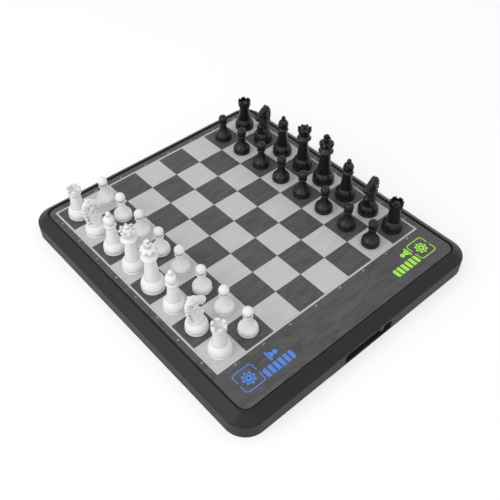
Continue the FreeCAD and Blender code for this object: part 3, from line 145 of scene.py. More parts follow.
# Swellings on both sides: (place, radii, upward tilt of the front in degrees)
FEATURES = (
    ((3.0, -2.2, 42.6), (2.9, 4.6, 5.0), 0.0),  # cheek
    ((4.5, -4.0, 52.2), (1.2, 2.6, 1.0), -25.0),  # brow
    ((4.8, -4.3, 50.4), (0.8, 1.2, 0.9), 0.0),  # eye
    ((3.0, 11.4, 43.2), (1.3, 1.8, 1.4), -20.0),  # nostril's wing
    ((1.4, 11.6, 39.4), (2.0, 2.0, 1.7), 0.0),  # lip
    ((1.2, 8.8, 38.0), (1.9, 3.0, 1.4), -15.0),  # chin
    ((2.5, -4.6, 54.8), (1.1, 1.7, 2.4), 25.0),  # ear
)
# Hollows on both sides: (place, radii, depth)
HOLLOWS = (
    ((3.7, 12.0, 43.0), (1.6, 1.0, 0.9), 1.4),  # nostril
    ((3.0, 10.0, 39.9), (3.2, 5.0, 0.7), 1.4),  # mouth
    ((5.2, -2.2, 49.8), (2.0, 1.3, 1.3), 1.5),  # before the eye
    ((5.2, -4.8, 48.8), (2.0, 2.6, 0.9), 1.5),  # under the eye
    ((4.8, 2.4, 46.2), (2.4, 1.6, 2.6), 1.6),  # before the cheek
    ((4.5, -6.6, 44.5), (2.2, 1.2, 4.6), 1.6),  # behind the cheek
    ((3.5, -1.0, 36.2), (3.2, 5.4, 1.2), 1.6),  # under the jaw
    ((2.4, 5.2, 31.8), (4.2, 4.2, 1.5), 1.6),  # throat
    ((5.4, 1.5, 22.0), (2.0, 4.2, 6.5), 0.9),  # flank of the neck
    ((3.6, 8.2, 22.0), (1.2, 1.2, 7.0), 0.8),  # edge of the chest
)
# Groove between the neck and the mane, in the form of the hollows
PARTING = tuple(((4.2, forward + 2.7, up), (2.4, 1.1, 3.8), 1.5) for forward, up in MANE[1:7])


class CHESS_PG_finish(bpy.types.PropertyGroup):
    """Colours of the visible surfaces."""

    housing: bpy.props.FloatVectorProperty(
        name="Housing", description="Moulded housing and cover", subtype="COLOR",
        size=3, min=0, max=1, default=(0.0102, 0.0102, 0.0105))
    panel: bpy.props.FloatVectorProperty(
        name="Dark squares", description="Dark veneer print of the panel", subtype="COLOR",
        size=3, min=0, max=1, default=(0.079, 0.079, 0.079))
    tile: bpy.props.FloatVectorProperty(
        name="Light squares", description="Light veneer print", subtype="COLOR",
        size=3, min=0, max=1, default=(0.555, 0.555, 0.555))
    white_side: bpy.props.FloatVectorProperty(
        name="White pieces", description="White's chess pieces", subtype="COLOR",
        size=3, min=0, max=1, default=(0.87, 0.87, 0.87))
    black_side: bpy.props.FloatVectorProperty(
        name="Black pieces", description="Black's chess pieces", subtype="COLOR",
        size=3, min=0, max=1, default=(0.0068, 0.0068, 0.0072))
    white_light: bpy.props.FloatVectorProperty(
        name="White's controls", description="Light of the touch controls at White's end",
        subtype="COLOR", size=3, min=0, max=1, default=(0.07, 0.22, 0.72))
    black_light: bpy.props.FloatVectorProperty(
        name="Black's controls", description="Light of the touch controls at Black's end",
        subtype="COLOR", size=3, min=0, max=1, default=(0.38, 0.80, 0.06))


class CHESS_PG_marks(bpy.types.PropertyGroup):
    """Coordinate marks round the squares."""

    height: bpy.props.FloatProperty(
        name="Height", description="Height of a letter or figure", unit="LENGTH", default=4.2 * MM)
    reach: bpy.props.FloatProperty(
        name="Reach", description="Distance of the marks from the squares", unit="LENGTH",
        default=5.3 * MM)
    thickness: bpy.props.FloatProperty(
        name="Thickness", description="Printed layer above the panel", unit="LENGTH",
        default=0.04 * MM)


class CHESS_PG_knight(bpy.types.PropertyGroup):
    """Turned base and carved head of a knight."""

    base_radius: bpy.props.FloatProperty(
        name="Base radius", description="Radius of the foot", unit="LENGTH", default=13.6 * MM)
    plinth: bpy.props.FloatProperty(
        name="Plinth", description="Height of the straight foot", unit="LENGTH", default=3.6 * MM)
    seam_height: bpy.props.FloatProperty(
        name="Seam height", description="Height of the groove over the plinth", unit="LENGTH",
        default=1.0 * MM)
    seam_depth: bpy.props.FloatProperty(
        name="Seam depth", description="Depth of the groove over the plinth", unit="LENGTH",
        default=1.6 * MM)
    bulge_height: bpy.props.FloatProperty(
        name="Bulge height", description="Height of the round shoulder", unit="LENGTH",
        default=10.0 * MM)
    bulge_top: bpy.props.FloatProperty(
        name="Bulge top", description="Radius at the top of the shoulder", unit="LENGTH",
        default=9.6 * MM)
    lock: bpy.props.FloatProperty(
        name="Lock", description="Thickness of the mane's lowest lock", unit="LENGTH",
        default=2.5 * MM)
    forelock: bpy.props.FloatProperty(
        name="Forelock", description="Thickness of the mane's last lock", unit="LENGTH",
        default=2.0 * MM)
    skin: bpy.props.FloatProperty(
        name="Skin", description="Size of the faces of the carved skin", unit="LENGTH",
        default=0.3 * MM)


class CHESS_PG_stage(bpy.types.PropertyGroup):
    """Camera and light."""

    lens: bpy.props.FloatProperty(
        name="Lens", description="Focal length on a 36 mm sensor", default=50.0)
    azimuth: bpy.props.FloatProperty(
        name="Azimuth", description="Camera's turn about the board", subtype="ANGLE",
        default=math.radians(48.486))
    elevation: bpy.props.FloatProperty(
        name="Elevation", description="Camera's height angle", subtype="ANGLE",
        default=math.radians(46.766))
    offset: bpy.props.FloatVectorProperty(
        name="Camera offset", description="Camera from the middle of the squares", unit="LENGTH",
        size=3, default=(0.49668, -0.41220, 0.63105))
    sky: bpy.props.FloatProperty(
        name="Sky", description="Strength of the soft light at the horizon", default=0.94)
    overhead: bpy.props.FloatProperty(
        name="Overhead", description="How much weaker the soft light is straight above", default=0.3)
    key: bpy.props.FloatProperty(
        name="Key", description="Power of the large lamp", unit="POWER", default=11.0)
    fill: bpy.props.FloatProperty(
        name="Fill", description="Power of the lamp opposite the key", unit="POWER", default=3.0)
    floor: bpy.props.FloatVectorProperty(
        name="Floor", description="Colour of the floor", subtype="COLOR", size=3,
        default=(0.42, 0.42, 0.42))
    glow: bpy.props.FloatVectorProperty(
        name="Glow", description="What lifts the floor to white where it is looked at", subtype="COLOR",
        size=3, default=(0.62, 0.62, 0.62))


class Wire:
    """A value in a node tree that takes part in Python arithmetic."""

    def __init__(self, nodes, socket):
        self.nodes = nodes
        self.socket = socket

    def maths(self, operation, first, second):
        """Add a Math node for two values."""
        return self.nodes.node("ShaderNodeMath", {"operation": operation}, {0: first, 1: second})

    def __add__(self, other):
        return self.maths("ADD", self, other)

    def __radd__(self, other):
        return self.maths("ADD", other, self)

    def __sub__(self, other):
        return self.maths("SUBTRACT", self, other)

    def __rsub__(self, other):
        return self.maths("SUBTRACT", other, self)

    def __mul__(self, other):
        return self.maths("MULTIPLY", self, other)

    def __rmul__(self, other):
        return self.maths("MULTIPLY", other, self)

    def __truediv__(self, other):
        return self.maths("DIVIDE", self, other)

    def __rtruediv__(self, other):
        return self.maths("DIVIDE", other, self)

    def __or__(self, other):
        return self.maths("MAXIMUM", self, other)

    def __ror__(self, other):
        return self.maths("MAXIMUM", other, self)

    def __lt__(self, other):
        return self.maths("LESS_THAN", self, other)

    def __gt__(self, other):
        return self.maths("GREATER_THAN", self, other)


class Nodes:
    """A node tree with the shader that its values go to."""

    def __init__(self, tree, shader):
        self.tree = tree
        self.shader = tree.nodes[shader]

    def feed(self, socket, value):
        """Give the shader a constant on its own socket, or link a changing value to it."""
        self.plug(self.shader.inputs[socket], value)

    def plug(self, socket, value):
        """Link a changing value to a socket, or set a constant on it."""
        if isinstance(value, Wire):
            self.tree.links.new(value.socket, socket)
        else:
            socket.default_value = value

    def node(self, kind, settings=None, sockets=None, output=0):
        """Add a node: its settings first, then the values or links of its sockets."""
        node = self.tree.nodes.new(kind)
        for name, value in (settings or {}).items():
            if name == "stops":
                set_stops(node.color_ramp, value)
            else:
                setattr(node, name, value)
        for name, value in (sockets or {}).items():
            self.plug(node.inputs[name], value)
        return Wire(self, node.outputs[output])

    def place(self, stretch=(1.0, 1.0, 1.0), turn=0.0):
        """Metres in the object's own frame, stretched and turned about the upright axis."""
        coordinates = self.node("ShaderNodeTexCoord", output="Object")
        return self.node("ShaderNodeMapping", None,
                         {"Vector": coordinates, "Rotation": (0.0, 0.0, turn), "Scale": stretch})

    def axis(self, letter, kind="Object"):
        """One coordinate: in metres in the object's own frame, or of another kind."""
        coordinates = self.node("ShaderNodeTexCoord", output=kind)
        return self.node("ShaderNodeSeparateXYZ", None, {"Vector": coordinates}, letter)

    def noise(self, place, scale, detail=3.0, roughness=0.55, distortion=0.0):
        """Cloudy pattern from 0 to 1."""
        return self.node("ShaderNodeTexNoise", None,
                         {"Vector": place, "Scale": scale, "Detail": detail,
                          "Roughness": roughness, "Distortion": distortion})

    def between(self, share, first, second):
        """Colour that goes from the first to the second with the share."""
        ends = [end if isinstance(end, Wire) else (*end, 1.0) for end in (first, second)]
        return self.node("ShaderNodeMix", {"data_type": "RGBA"},
                         {"Factor": share, MIX_FIRST: ends[0], MIX_SECOND: ends[1]}, MIX_RESULT)

    def painted_shade_share(self, reach):
        """Share of painted shade from ambient occlusion: 0 on open surfaces, up to 1 deep in grooves
        and corners of the same solid.
        """
        return 1.0 - self.node("ShaderNodeAmbientOcclusion", {"samples": 8, "only_local": True},
                               {"Distance": reach}, "AO")

    def bump(self, height, depth):
        """Raise the surface by the depth where the height is 1."""
        self.feed("Normal", self.node("ShaderNodeBump", None, {"Height": height, "Distance": depth}))

    def looked_at(self):
        """1 for what the camera, metal or glass sees, 0 for light that only reaches other surfaces."""
        return (self.node("ShaderNodeLightPath", output="Is Camera Ray")
                | self.node("ShaderNodeLightPath", output="Is Glossy Ray")
                | self.node("ShaderNodeLightPath", output="Is Transmission Ray"))


class Finish(Nodes):
    """A material and the nodes that make its look."""

    def __init__(self, name, colour, roughness, specular=0.5, metallic=0.0):
        self.material = bpy.data.materials.new(name)
        self.material.use_nodes = True
        self.material.diffuse_color = (*colour, 1.0)
        super().__init__(self.material.node_tree, "Principled BSDF")
        self.colour = colour
        self.feed("Base Color", (*colour, 1.0))
        self.feed("Roughness", roughness)
        self.feed("Specular IOR Level", specular)
        self.feed("Metallic", metallic)

    def tint(self, share, low, high):
        """Let the colour go from one shade of itself to another with the share."""
        self.feed("Base Color", self.between(share, shade(self.colour, low), shade(self.colour, high)))

    def gloss(self, share, low, high):
        """Let the roughness go from low to high with the share."""
        self.feed("Roughness", low + (high - low) * share)


def set_stops(ramp, stops):
    """Fill a colour ramp with (position, grey) stops."""
    while len(ramp.elements) < len(stops):
        ramp.elements.new(1.0)
    for element, (position, grey) in zip(ramp.elements, stops):
        element.position = position
        element.color = (grey, grey, grey, 1.0)


def shade(colour, factor):
    """The colour made lighter or darker."""
    return tuple(min(1.0, channel * factor) for channel in colour)


def moulded_plastic(name, colour, roughness):
    """Plastic with a fine spark-eroded grain and faint cloudiness."""
    finish = Finish(name, colour, roughness, specular=0.3)
    place = finish.place()
    cloud = finish.noise(place, scale=35.0, detail=4.0)
    spark = finish.noise(place, scale=2600.0, detail=2.0, roughness=0.6)
    finish.tint(cloud, 0.9, 1.1)
    finish.gloss(spark, roughness - 0.06, roughness + 0.06)
    finish.bump(spark, depth=0.012 * MM)
    return finish.material


def veneer_print(name, colour, roughness, contrast):
    """Printed wood figure that runs along the board from White to Black."""
    finish = Finish(name, colour, roughness, specular=0.3)
    figure = finish.noise(finish.place((1.0, 0.2, 1.0), turn=0.06), scale=170.0, detail=5.0,
                          roughness=0.6, distortion=0.9)
    pores = finish.noise(finish.place((1.0, 0.04, 1.0), turn=0.02), scale=700.0, detail=2.0,
                         roughness=0.5)
    cloud = finish.noise(finish.place((1.0, 0.4, 1.0), turn=0.1), scale=30.0)
    streak = finish.node("ShaderNodeValToRGB", {"stops": ((0.34, 0.0), (0.66, 1.0))}, {"Fac": figure})
    finish.tint(0.5 * streak + 0.25 * cloud + 0.25 * pores, 1.0 - contrast, 1.0 + contrast)
    finish.gloss(figure, roughness - 0.05, roughness + 0.05)
    finish.bump(pores, depth=0.01 * MM)
    return finish.material


def lit_inlay(name, colour):
    """Inlay with lamps behind it, a little brighter in patches over them."""
    finish = Finish(name, shade(colour, 0.6), roughness=0.4)
    patch = finish.noise(finish.place(), scale=60.0, detail=1.0)
    finish.feed("Emission Color", finish.between(patch, shade(colour, 0.8), shade(colour, 1.15)))
    finish.feed("Emission Strength", CONTROL_GLOW)
    return finish.material


def turned_plastic(name, colour, roughness):
    """Weighted plastic of a chess piece: satin, faint flow marks, shade painted dark into its grooves,
    felt under the foot.
    """
    finish = Finish(name, colour, roughness, specular=0.35)
    flow = finish.noise(finish.place((1.0, 1.0, 0.35)), scale=120.0)
    grain = finish.noise(finish.place(), scale=2200.0, detail=2.0)
    # Painted shade: ambient occlusion of the piece's own solid marks its grooves and corners
    groove = finish.painted_shade_share(reach=4.0 * MM)
    under = finish.axis("Z") < SURFACE + FELT_THICKNESS
    body = finish.between(flow, shade(colour, 0.96), shade(colour, 1.03))
    # Painted shade: deep in grooves and corners the colour darkens towards a tenth of itself
    body_with_painted_shade = finish.between(0.85 * groove, body, shade(colour, 0.1))
    finish.feed("Base Color", finish.between(under, body_with_painted_shade, FELT_COLOUR))
    finish.feed("Roughness", roughness - 0.05 + 0.1 * flow + (FELT_ROUGHNESS - roughness) * under)
    finish.bump(grain, depth=0.008 * MM)
    return finish.material


def rubber(name, colour):
    """Rubber or foam with fine specks."""
    finish = Finish(name, colour, roughness=0.8)
    speck = finish.noise(finish.place(), scale=1800.0)
    finish.tint(speck, 0.7, 1.5)
    finish.bump(speck, depth=0.03 * MM)
    return finish.material


def drawn_metal(name, colour, roughness, stretch):
    """Metal with fine lines along one axis."""
    finish = Finish(name, colour, roughness, metallic=1.0)
    lines = finish.noise(finish.place(stretch), scale=3000.0, detail=2.0)
    finish.tint(lines, 0.85, 1.12)
    finish.gloss(lines, roughness - 0.1, roughness + 0.1)
    finish.bump(lines, depth=0.004 * MM)
    return finish.material


def circuit_board(name, lacquer, copper):
    """Lacquered board with a regular layout of tracks and pads."""
    finish = Finish(name, lacquer, roughness=0.35)
    black = (0.0, 0.0, 0.0, 1.0)
    white = (1.0, 1.0, 1.0, 1.0)
    tracks = finish.node("ShaderNodeTexBrick", {"offset": 0.5, "squash": 1.0},
                         {"Vector": finish.place(), "Scale": 90.0, "Mortar Size": 0.025,
                          "Color1": black, "Color2": black, "Mortar": white})
    weave = finish.noise(finish.place(), scale=700.0, detail=2.0)
    finish.feed("Base Color", finish.between(0.75 * tracks + 0.1 * weave, lacquer, copper))
    finish.gloss(weave, 0.32, 0.42)
    finish.bump(tracks, depth=0.03 * MM)
    return finish.material


def hazy_film(name, colour, roughness, depth):
    """Smooth film, sheet, lens or print with a faint haze."""
    finish = Finish(name, colour, roughness)
    haze = finish.noise(finish.place(), scale=400.0)
    finish.tint(haze, 0.95, 1.04)
    finish.gloss(haze, roughness - 0.05, roughness + 0.05)
    finish.bump(haze, depth)
    return finish.material


def ribbed_sheath(name, colour, pitch, axis):
    """Cable sheath whose cores show as parallel ribs."""
    finish = Finish(name, colour, roughness=0.5)
    turns = finish.axis(axis) * (2 * math.pi / pitch)
    ribs = 0.5 + 0.5 * finish.node("ShaderNodeMath", {"operation": "SINE"}, {0: turns})
    finish.tint(ribs, 0.6, 1.6)
    finish.bump(ribs, depth=0.2 * MM)
    return finish.material


def wrapped_cell(name, colour, label):
    """Battery's shrink wrap with a plain pale band across it."""
    finish = Finish(name, colour, roughness=0.35)
    low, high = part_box("battery_pack")
    along = (finish.axis("X") - low.x) / (high.x - low.x)
    band = (along > 0.58) * (along < 0.86)
    crinkle = finish.noise(finish.place((0.3, 1.0, 1.0)), scale=260.0)
    finish.feed("Base Color", finish.between(band, colour, label))
    finish.gloss(crinkle, 0.3, 0.5)
    finish.bump(crinkle, depth=0.05 * MM)
    return finish.material


def dress(material, *nodes):
    """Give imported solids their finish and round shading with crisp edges."""
    for name in nodes:
        node = frame["nodes"][name]
        node.data.materials.clear()
        node.data.materials.append(material)
        node.data.shade_smooth()
        node.data.set_sharp_from_angle(angle=CRISP_SOLID)


def put_in_scene(name, data):
    """A new object in the scene."""
    item = bpy.data.objects.new(name, data)
    bpy.context.scene.collection.objects.link(item)
    return item


def on_panel(x, y, lift=0.0, turn=0.0):
    """Place over the panel from the middle of the squares, turned about the upright axis."""
    place = Matrix.Translation((GRID_CENTRE.x + x, GRID_CENTRE.y + y, SURFACE + lift))
    return place @ Matrix.Rotation(turn, 4, "Z")


def new_piece(name, mesh, material, body):
    """A new mesh that rides on a body of the frame."""
    piece = put_in_scene(name, mesh)
    mesh.materials.clear()
    mesh.materials.append(material)
    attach(piece, body)
    return piece


class CHESS_OT_housing(bpy.types.Operator):
    """Finish the moulded housing, its cover, feet and screws"""

    bl_idname = "chess.housing"
    bl_label = "Housing"

    def execute(self, context):
        colours = context.scene.chess_finish
        dress(moulded_plastic("housing_plastic", colours.housing, roughness=0.5),
              "top_housing", "bottom_cover")
        dress(rubber("foot_rubber", colour=(0.02, 0.02, 0.02)), "rubber_feet")
        dress(rubber("gasket_foam", colour=(0.03, 0.03, 0.03)), "panel_gasket")
        dress(drawn_metal("screw_steel", colour=(0.25, 0.25, 0.26), roughness=0.35,
                          stretch=(1.0, 1.0, 0.05)),
              "housing_screws", "inner_screws")
        return {"FINISHED"}


class CHESS_OT_panel(bpy.types.Operator):
    """Finish the playing panel, its light fields and the lit controls"""

    bl_idname = "chess.panel"
    bl_label = "Playing panel"

    def execute(self, context):
        colours = context.scene.chess_finish
        dress(veneer_print("dark_veneer", colours.panel, roughness=0.5, contrast=0.5), "playing_panel")
        dress(veneer_print("light_veneer", colours.tile, roughness=0.48, contrast=0.09),
              "light_squares", "grid_outline")
        dress(lit_inlay("white_side_light", colours.white_light), "white_side_icons")
        dress(lit_inlay("black_side_light", colours.black_light), "black_side_icons")
        return {"FINISHED"}


class CHESS_OT_marks(bpy.types.Operator):
    """Print the letters and figures of the files and ranks on the panel's margins"""

    bl_idname = "chess.marks"
    bl_label = "Coordinate marks"

    def execute(self, context):
        sizes = context.scene.chess_marks
        material = hazy_film("mark_print", colour=(0.7, 0.7, 0.7), roughness=0.5, depth=0.005 * MM)
        reach = GRID_HALF + sizes.reach
        for name, signs, place, turn in (
            ("file_letters_white", FILES, lambda middle: (middle, -reach), 0.0),
            ("file_letters_black", FILES, lambda middle: (middle, reach), math.pi),
            ("rank_figures_left", RANKS, lambda middle: (-reach, middle), 0.0),
            ("rank_figures_right", RANKS, lambda middle: (reach, middle), 0.0),
        ):
            places = [on_panel(*place(middle), sizes.thickness / 2, turn) for middle in MIDDLES]
            mesh = printed_signs(name, zip(signs, places), sizes)
            new_piece(name, mesh, material, "board")
        return {"FINISHED"}


def printed_signs(name, signs, sizes):
    """One mesh of raised letters or figures, each at its own place."""
    built = bmesh.new()
    for sign, place in signs:
        text = bpy.data.curves.new(name, "FONT")
        text.body = sign
        text.size = sizes.height
        text.align_x = "CENTER"
        text.align_y = "CENTER"
        text.extrude = sizes.thickness / 2
        text.resolution_u = 3
        holder = bpy.data.objects.new(name, text)
        letter = bpy.data.meshes.new_from_object(holder)
        letter.transform(place)
        built.from_mesh(letter)
        bpy.data.objects.remove(holder)
        bpy.data.curves.remove(text)
        bpy.data.meshes.remove(letter)
    mesh = bpy.data.meshes.new(name)
    built.to_mesh(mesh)
    built.free()
    return mesh


class CHESS_OT_works(bpy.types.Operator):
    """Finish what lies inside the housing: sheets, boards, lamps, battery and leads"""

    bl_idname = "chess.works"
    bl_label = "Inner works"

    def execute(self, context):
        dress(hazy_film("touch_film", colour=(0.6, 0.62, 0.6), roughness=0.2, depth=0.002 * MM),
              "touch_film")
        dress(hazy_film("diffuser_sheet", colour=(0.85, 0.85, 0.85), roughness=0.6, depth=0.01 * MM),
              "light_diffuser")
        dress(moulded_plastic("light_wall_plastic", colour=(0.8, 0.8, 0.8), roughness=0.6),
              "light_grid")
        dress(circuit_board("circuit_lacquer", lacquer=(0.008, 0.11, 0.045), copper=(0.45, 0.36, 0.08)),
              "main_board", "port_board")
        dress(hazy_film("lamp_lens", colour=(0.85, 0.82, 0.6), roughness=0.25, depth=0.01 * MM),
              "square_leds", "control_leds")
        dress(drawn_metal("screening_can", colour=(0.6, 0.6, 0.61), roughness=0.32,
                          stretch=(1.0, 0.04, 1.0)),
              "processor_module", "wireless_module")
        dress(wrapped_cell("battery_wrap", colour=(0.02, 0.05, 0.17), label=(0.6, 0.6, 0.58)),
              "battery_pack")
        dress(moulded_plastic("strap_plastic", colour=(0.02, 0.02, 0.021), roughness=0.55),
              "battery_strap")
        dress(ribbed_sheath("lead_sheath", colour=(0.03, 0.03, 0.03), pitch=1.5 * MM, axis="Y"),
              "battery_lead")
        dress(ribbed_sheath("ribbon_sheath", colour=(0.35, 0.35, 0.36), pitch=1.27 * MM, axis="Y"),
              "ribbon_cable")
        return {"FINISHED"}


class CHESS_OT_port_bay(bpy.types.Operator):
    """Finish the port bay's lining, socket, push switch and power button"""

    bl_idname = "chess.port_bay"
    bl_label = "Port bay"

    def execute(self, context):
        dress(moulded_plastic("bay_plastic", colour=(0.012, 0.012, 0.013), roughness=0.6),
              "port_liner", "power_switch")
        dress(moulded_plastic("button_plastic", colour=(0.02, 0.02, 0.022), roughness=0.4),
              "power_button")
        dress(drawn_metal("socket_steel", colour=(0.55, 0.55, 0.56), roughness=0.3,
                          stretch=(0.05, 1.0, 1.0)),
              "usb_socket")
        return {"FINISHED"}


class CHESS_OT_pieces(bpy.types.Operator):
    """Finish the chess pieces of both sides"""

    bl_idname = "chess.pieces"
    bl_label = "Chess pieces"

    def execute(self, context):
        colours = context.scene.chess_finish
        for side, colour, roughness in (
            ("white", colours.white_side, 0.45),
            ("black", colours.black_side, 0.32),
        ):
            material = turned_plastic(side + "_piece_plastic", colour, roughness)
            dress(material, *[name for name in frame["bodies"] if name.startswith(side + "_")])
        return {"FINISHED"}


class CHESS_OT_knights(bpy.types.Operator):
    """Carve the knights of both sides and set them on their squares"""

    bl_idname = "chess.knights"
    bl_label = "Carved knights"

    def execute(self, context):
        sizes = context.scene.chess_knight
        carved = carved_neck(sizes)
        built = bmesh.new()
        built.from_mesh(carved)
        bpy.data.meshes.remove(carved)
        turned_base(built, sizes)
        for name, node in frame["nodes"].items():
            if "_knight_" in name:
                side, _, file = name.split("_")
                mesh = bpy.data.meshes.new(name + "_carving")
                built.to_mesh(mesh)
                mesh.transform(home_square(file, side))
                piece = new_piece(mesh.name, mesh, node.data.materials[0], name)
                mesh.shade_smooth()
                mesh.set_sharp_from_angle(angle=CRISP_CARVING)
                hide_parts(name)
        built.free()
        return {"FINISHED"}


def home_square(file, side):
    """Place of a piece of the back rank, turned to face the other side."""
    x = MIDDLES[FILES.index(file)]
    if side == "white":
        return on_panel(x, MIDDLES[0])
    return on_panel(x, MIDDLES[-1], turn=math.pi)


def smooth_path(stations, steps):
    """Stations of a smooth curve through the given ones."""
    knots = [Vector(station) for station in stations]
    path = []
    for i in range(len(knots) - 1):
        before = knots[max(i - 1, 0)]
        start = knots[i]
        end = knots[i + 1]
        after = knots[min(i + 2, len(knots) - 1)]
        for step in range(steps):
            t = step / steps
            bend = 2 * before - 5 * start + 4 * end - after
            twist = 3 * start - before - 3 * end + after
            path.append(start + 0.5 * ((end - before) * t + bend * t ** 2 + twist * t ** 3))
    path.append(knots[-1])
    return path


def heading(path, i):
    """Direction of the path at a station, as (forward, up)."""
    return path[min(i + 1, len(path) - 1)].xy - path[max(i - 1, 0)].xy


def oval_skin(built, stations):
    """Closed skin through ovals whose middles lie in the middle plane."""
    path = smooth_path(stations, OVALS_PER_STATION)
    rings = []
    for i, (forward, up, width, depth) in enumerate(path):
        along = heading(path, i).normalized()
        ring = []
        for angle in round_angles(OVAL_POINTS):
            across = squared(math.cos(angle)) * width
            out = squared(math.sin(angle)) * depth
            ring.append(built.verts.new((across, forward - along.y * out, up + along.x * out)))
        rings.append(ring)
    close_rings(built, rings)


def round_angles(count):
    """Angles of points that lie evenly on a circle."""
    return [2 * math.pi * k / count for k in range(count)]


def squared(value):
    """A sine or cosine that gives an oval its fuller corners."""
    return math.copysign(abs(value) ** (2 / SQUARENESS), value)


def close_rings(built, rings):
    """Faces from each ring of points to the next, and over both ends."""
    for low, high in zip(rings, rings[1:]):
        for k in range(len(low)):
            after = (k + 1) % len(low)
            built.faces.new((low[k], low[after], high[after], high[k]))
    built.faces.new(rings[0][::-1])
    built.faces.new(rings[-1])


def lump(built, place, radii, nod=0.0, lean=0.0, turn=0.0):
    """Rounded swelling that nods about X, leans about Y and turns about Z, in that order."""
    tilt = Matrix.Rotation(turn, 4, "Z") @ Matrix.Rotation(lean, 4, "Y") @ Matrix.Rotation(nod, 4, "X")
    matrix = Matrix.Translation(place) @ tilt @ Matrix.Diagonal((*radii, 1.0))
    bmesh.ops.create_icosphere(built, subdivisions=3, radius=1.0, matrix=matrix)


def plait(built, lowest, last):
    """Mane of locks that lie to the left and right by turns."""
    path = smooth_path(MANE, LOCKS_PER_POINT)
    for i, (forward, up) in enumerate(path):
        along = heading(path, i)
        radius = lowest + (last - lowest) * i / (len(path) - 1)
        side = 1 if i % 2 else -1
        lump(built, (side * LOCK_STEP, forward, up), [radius * share for share in LOCK_SHAPE],
             math.atan2(along.y, along.x), side * LOCK_TILT, side * LOCK_TILT)


def press_hollows(mesh):
    """Press the eyes, nostrils, mouth and folds into the skin on both sides."""
    normals = [vertex.normal.copy() for vertex in mesh.vertices]
    for vertex, normal in zip(mesh.vertices, normals):
        x, y, z = vertex.co
        mirrored = Vector((abs(x), y, z))
        for place, radii, depth in HOLLOWS + PARTING:
            offset = mirrored - Vector(place)
            spread = Vector(offset[i] / radii[i] for i in range(3)).length_squared
            if spread < 1.0:
                vertex.co -= normal * (depth * (1.0 - spread) ** 2)


def carved_neck(sizes):
    """Neck, head and mane as one skin."""
    built = bmesh.new()
    oval_skin(built, NECK)
    oval_skin(built, HEAD)
    lump(built, *JAW)
    lump(built, *CHEST)
    for (x, y, z), radii, nod in FEATURES:
        for side in (-1, 1):
            lump(built, (side * x, y, z), radii, math.radians(nod))
    plait(built, sizes.lock / MM, sizes.forelock / MM)
    rough = bpy.data.meshes.new("knight_rough")
    built.to_mesh(rough)
    built.free()
    holder = put_in_scene("knight_rough", rough)
    skin = holder.modifiers.new("skin", "REMESH")
    skin.mode = "VOXEL"
    skin.voxel_size = sizes.skin / MM
    polish = holder.modifiers.new("polish", "SMOOTH")
    polish.factor = 0.5
    polish.iterations = 1
    evaluated = holder.evaluated_get(bpy.context.evaluated_depsgraph_get())
    carved = bpy.data.meshes.new_from_object(evaluated)
    bpy.data.objects.remove(holder)
    bpy.data.meshes.remove(rough)
    press_hollows(carved)
    carved.transform(Matrix.Scale(MM, 4))
    return carved


def turned_base(built, sizes):
    """Plinth, groove and round shoulder under the neck."""
    radius = sizes.base_radius
    lip = radius - BULGE_STEP
    inside = radius - sizes.seam_depth
    shoulder = sizes.plinth + sizes.seam_height
    profile = [(radius - BEVEL, 0.0), (radius, BEVEL), (radius, sizes.plinth - BEVEL),
               (radius - BEVEL, sizes.plinth), (inside, sizes.plinth), (inside, shoulder)]
    for step in range(BULGE_STEPS + 1):
        share = step / BULGE_STEPS
        bow = 4 * share * (1 - share) * sizes.bulge_height
        profile.append((lip + (sizes.bulge_top - lip) * share + bow * BOW_OUT,
                        shoulder + sizes.bulge_height * share + bow * BOW_UP))
    rings = []
    for reach, height in profile:
        ring = []
        for angle in round_angles(BASE_SIDES):
            ring.append(built.verts.new((reach * math.cos(angle), reach * math.sin(angle), height)))
        rings.append(ring)
    close_rings(built, rings)


class CHESS_OT_stage(bpy.types.Operator):
    """Set up the floor, the light and the camera"""

    bl_idname = "chess.stage"
    bl_label = "Stage"

    def execute(self, context):
        stage = context.scene.chess_stage
        context.scene.view_settings.view_transform = "Standard"
        make_floor(stage)
        make_sky(stage)
        make_lamp("key_lamp", stage.key, KEY_PLACE)
        make_lamp("fill_lamp", stage.fill, FILL_PLACE)
        make_camera(stage)
        return {"FINISHED"}


def make_floor(stage):
    """Wide plain floor that shows white where no shadow falls."""
    mesh = bpy.data.meshes.new("floor")
    built = bmesh.new()
    bmesh.ops.create_grid(built, x_segments=1, y_segments=1, size=FLOOR_REACH)
    built.to_mesh(mesh)
    built.free()
    floor = put_in_scene("floor", mesh)
    finish = Finish("floor_paper", stage.floor, roughness=0.9, specular=0.0)
    finish.feed("Emission Color", finish.between(finish.looked_at(), (0.0, 0.0, 0.0), stage.glow))
    finish.feed("Emission Strength", 1.0)
    mesh.materials.append(finish.material)


def make_sky(stage):
    """Soft light from all round, weaker overhead, and white where it is looked at."""
    world = bpy.data.worlds.new("studio")
    bpy.context.scene.world = world
    world.use_nodes = True
    sky = Nodes(world.node_tree, "Background")
    sky.feed("Color", (1.0, 1.0, 1.0, 1.0))
    level = stage.sky - stage.overhead * sky.axis("Z", "Generated")
    sky.feed("Strength", level + (1.0 - level) * sky.looked_at())


def make_lamp(name, power, place):
    """Large soft lamp that faces the board."""
    lamp = bpy.data.lights.new(name, "AREA")
    lamp.energy = power
    lamp.shape = "DISK"
    lamp.size = LAMP_SIZE
    holder = put_in_scene(name, lamp)
    holder.location = place
    holder.rotation_euler = (-Vector(place)).to_track_quat("-Z", "Y").to_euler()


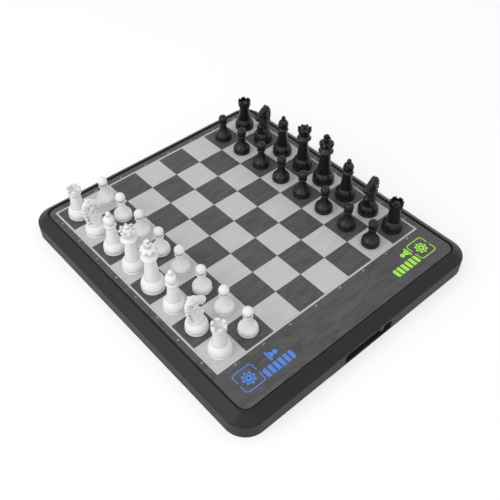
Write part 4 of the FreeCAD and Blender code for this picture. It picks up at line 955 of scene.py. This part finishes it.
def make_camera(stage):
    """Camera at the photograph's viewing angle."""
    camera = bpy.data.cameras.new("camera")
    camera.lens = stage.lens
    camera.sensor_width = 36.0
    camera.clip_start = 0.01
    holder = put_in_scene("camera", camera)
    holder.location = on_panel(*stage.offset).translation
    holder.rotation_euler = (math.pi / 2 - stage.elevation, 0.0, stage.azimuth)
    bpy.context.scene.camera = holder


class CHESS_PT_panel(bpy.types.Panel):
    """Sidebar list of the sizes, colours and steps"""

    bl_label = "Chess Computer"
    bl_idname = "CHESS_PT_panel"
    bl_space_type = "VIEW_3D"
    bl_region_type = "UI"
    bl_category = "Chess Computer"

    def draw(self, context):
        for step in STEPS:
            self.layout.operator(step.bl_idname)
        for group in PROPERTY_GROUPS:
            settings = getattr(context.scene, group)
            column = self.layout.column(align=True)
            for name in settings.bl_rna.properties.keys():
                if name not in ("name", "rna_type"):
                    column.prop(settings, name)


STEPS = (CHESS_OT_housing, CHESS_OT_panel, CHESS_OT_marks, CHESS_OT_works, CHESS_OT_port_bay,
         CHESS_OT_pieces, CHESS_OT_knights, CHESS_OT_stage)
PROPERTY_GROUPS = {"chess_finish": CHESS_PG_finish, "chess_marks": CHESS_PG_marks,
                   "chess_knight": CHESS_PG_knight, "chess_stage": CHESS_PG_stage}


def register():
    for item in (*PROPERTY_GROUPS.values(), *STEPS, CHESS_PT_panel):
        bpy.utils.register_class(item)
    for name, group in PROPERTY_GROUPS.items():
        setattr(bpy.types.Scene, name, bpy.props.PointerProperty(type=group))


def unregister():
    for name in PROPERTY_GROUPS:
        delattr(bpy.types.Scene, name)
    for item in (CHESS_PT_panel, *reversed(STEPS), *PROPERTY_GROUPS.values()):
        bpy.utils.unregister_class(item)


def main():
    register()
    bpy.ops.chess.housing()
    bpy.ops.chess.panel()
    bpy.ops.chess.marks()
    bpy.ops.chess.works()
    bpy.ops.chess.port_bay()
    bpy.ops.chess.pieces()
    bpy.ops.chess.knights()
    bpy.ops.chess.stage()


if __name__ == "__main__":
    main()
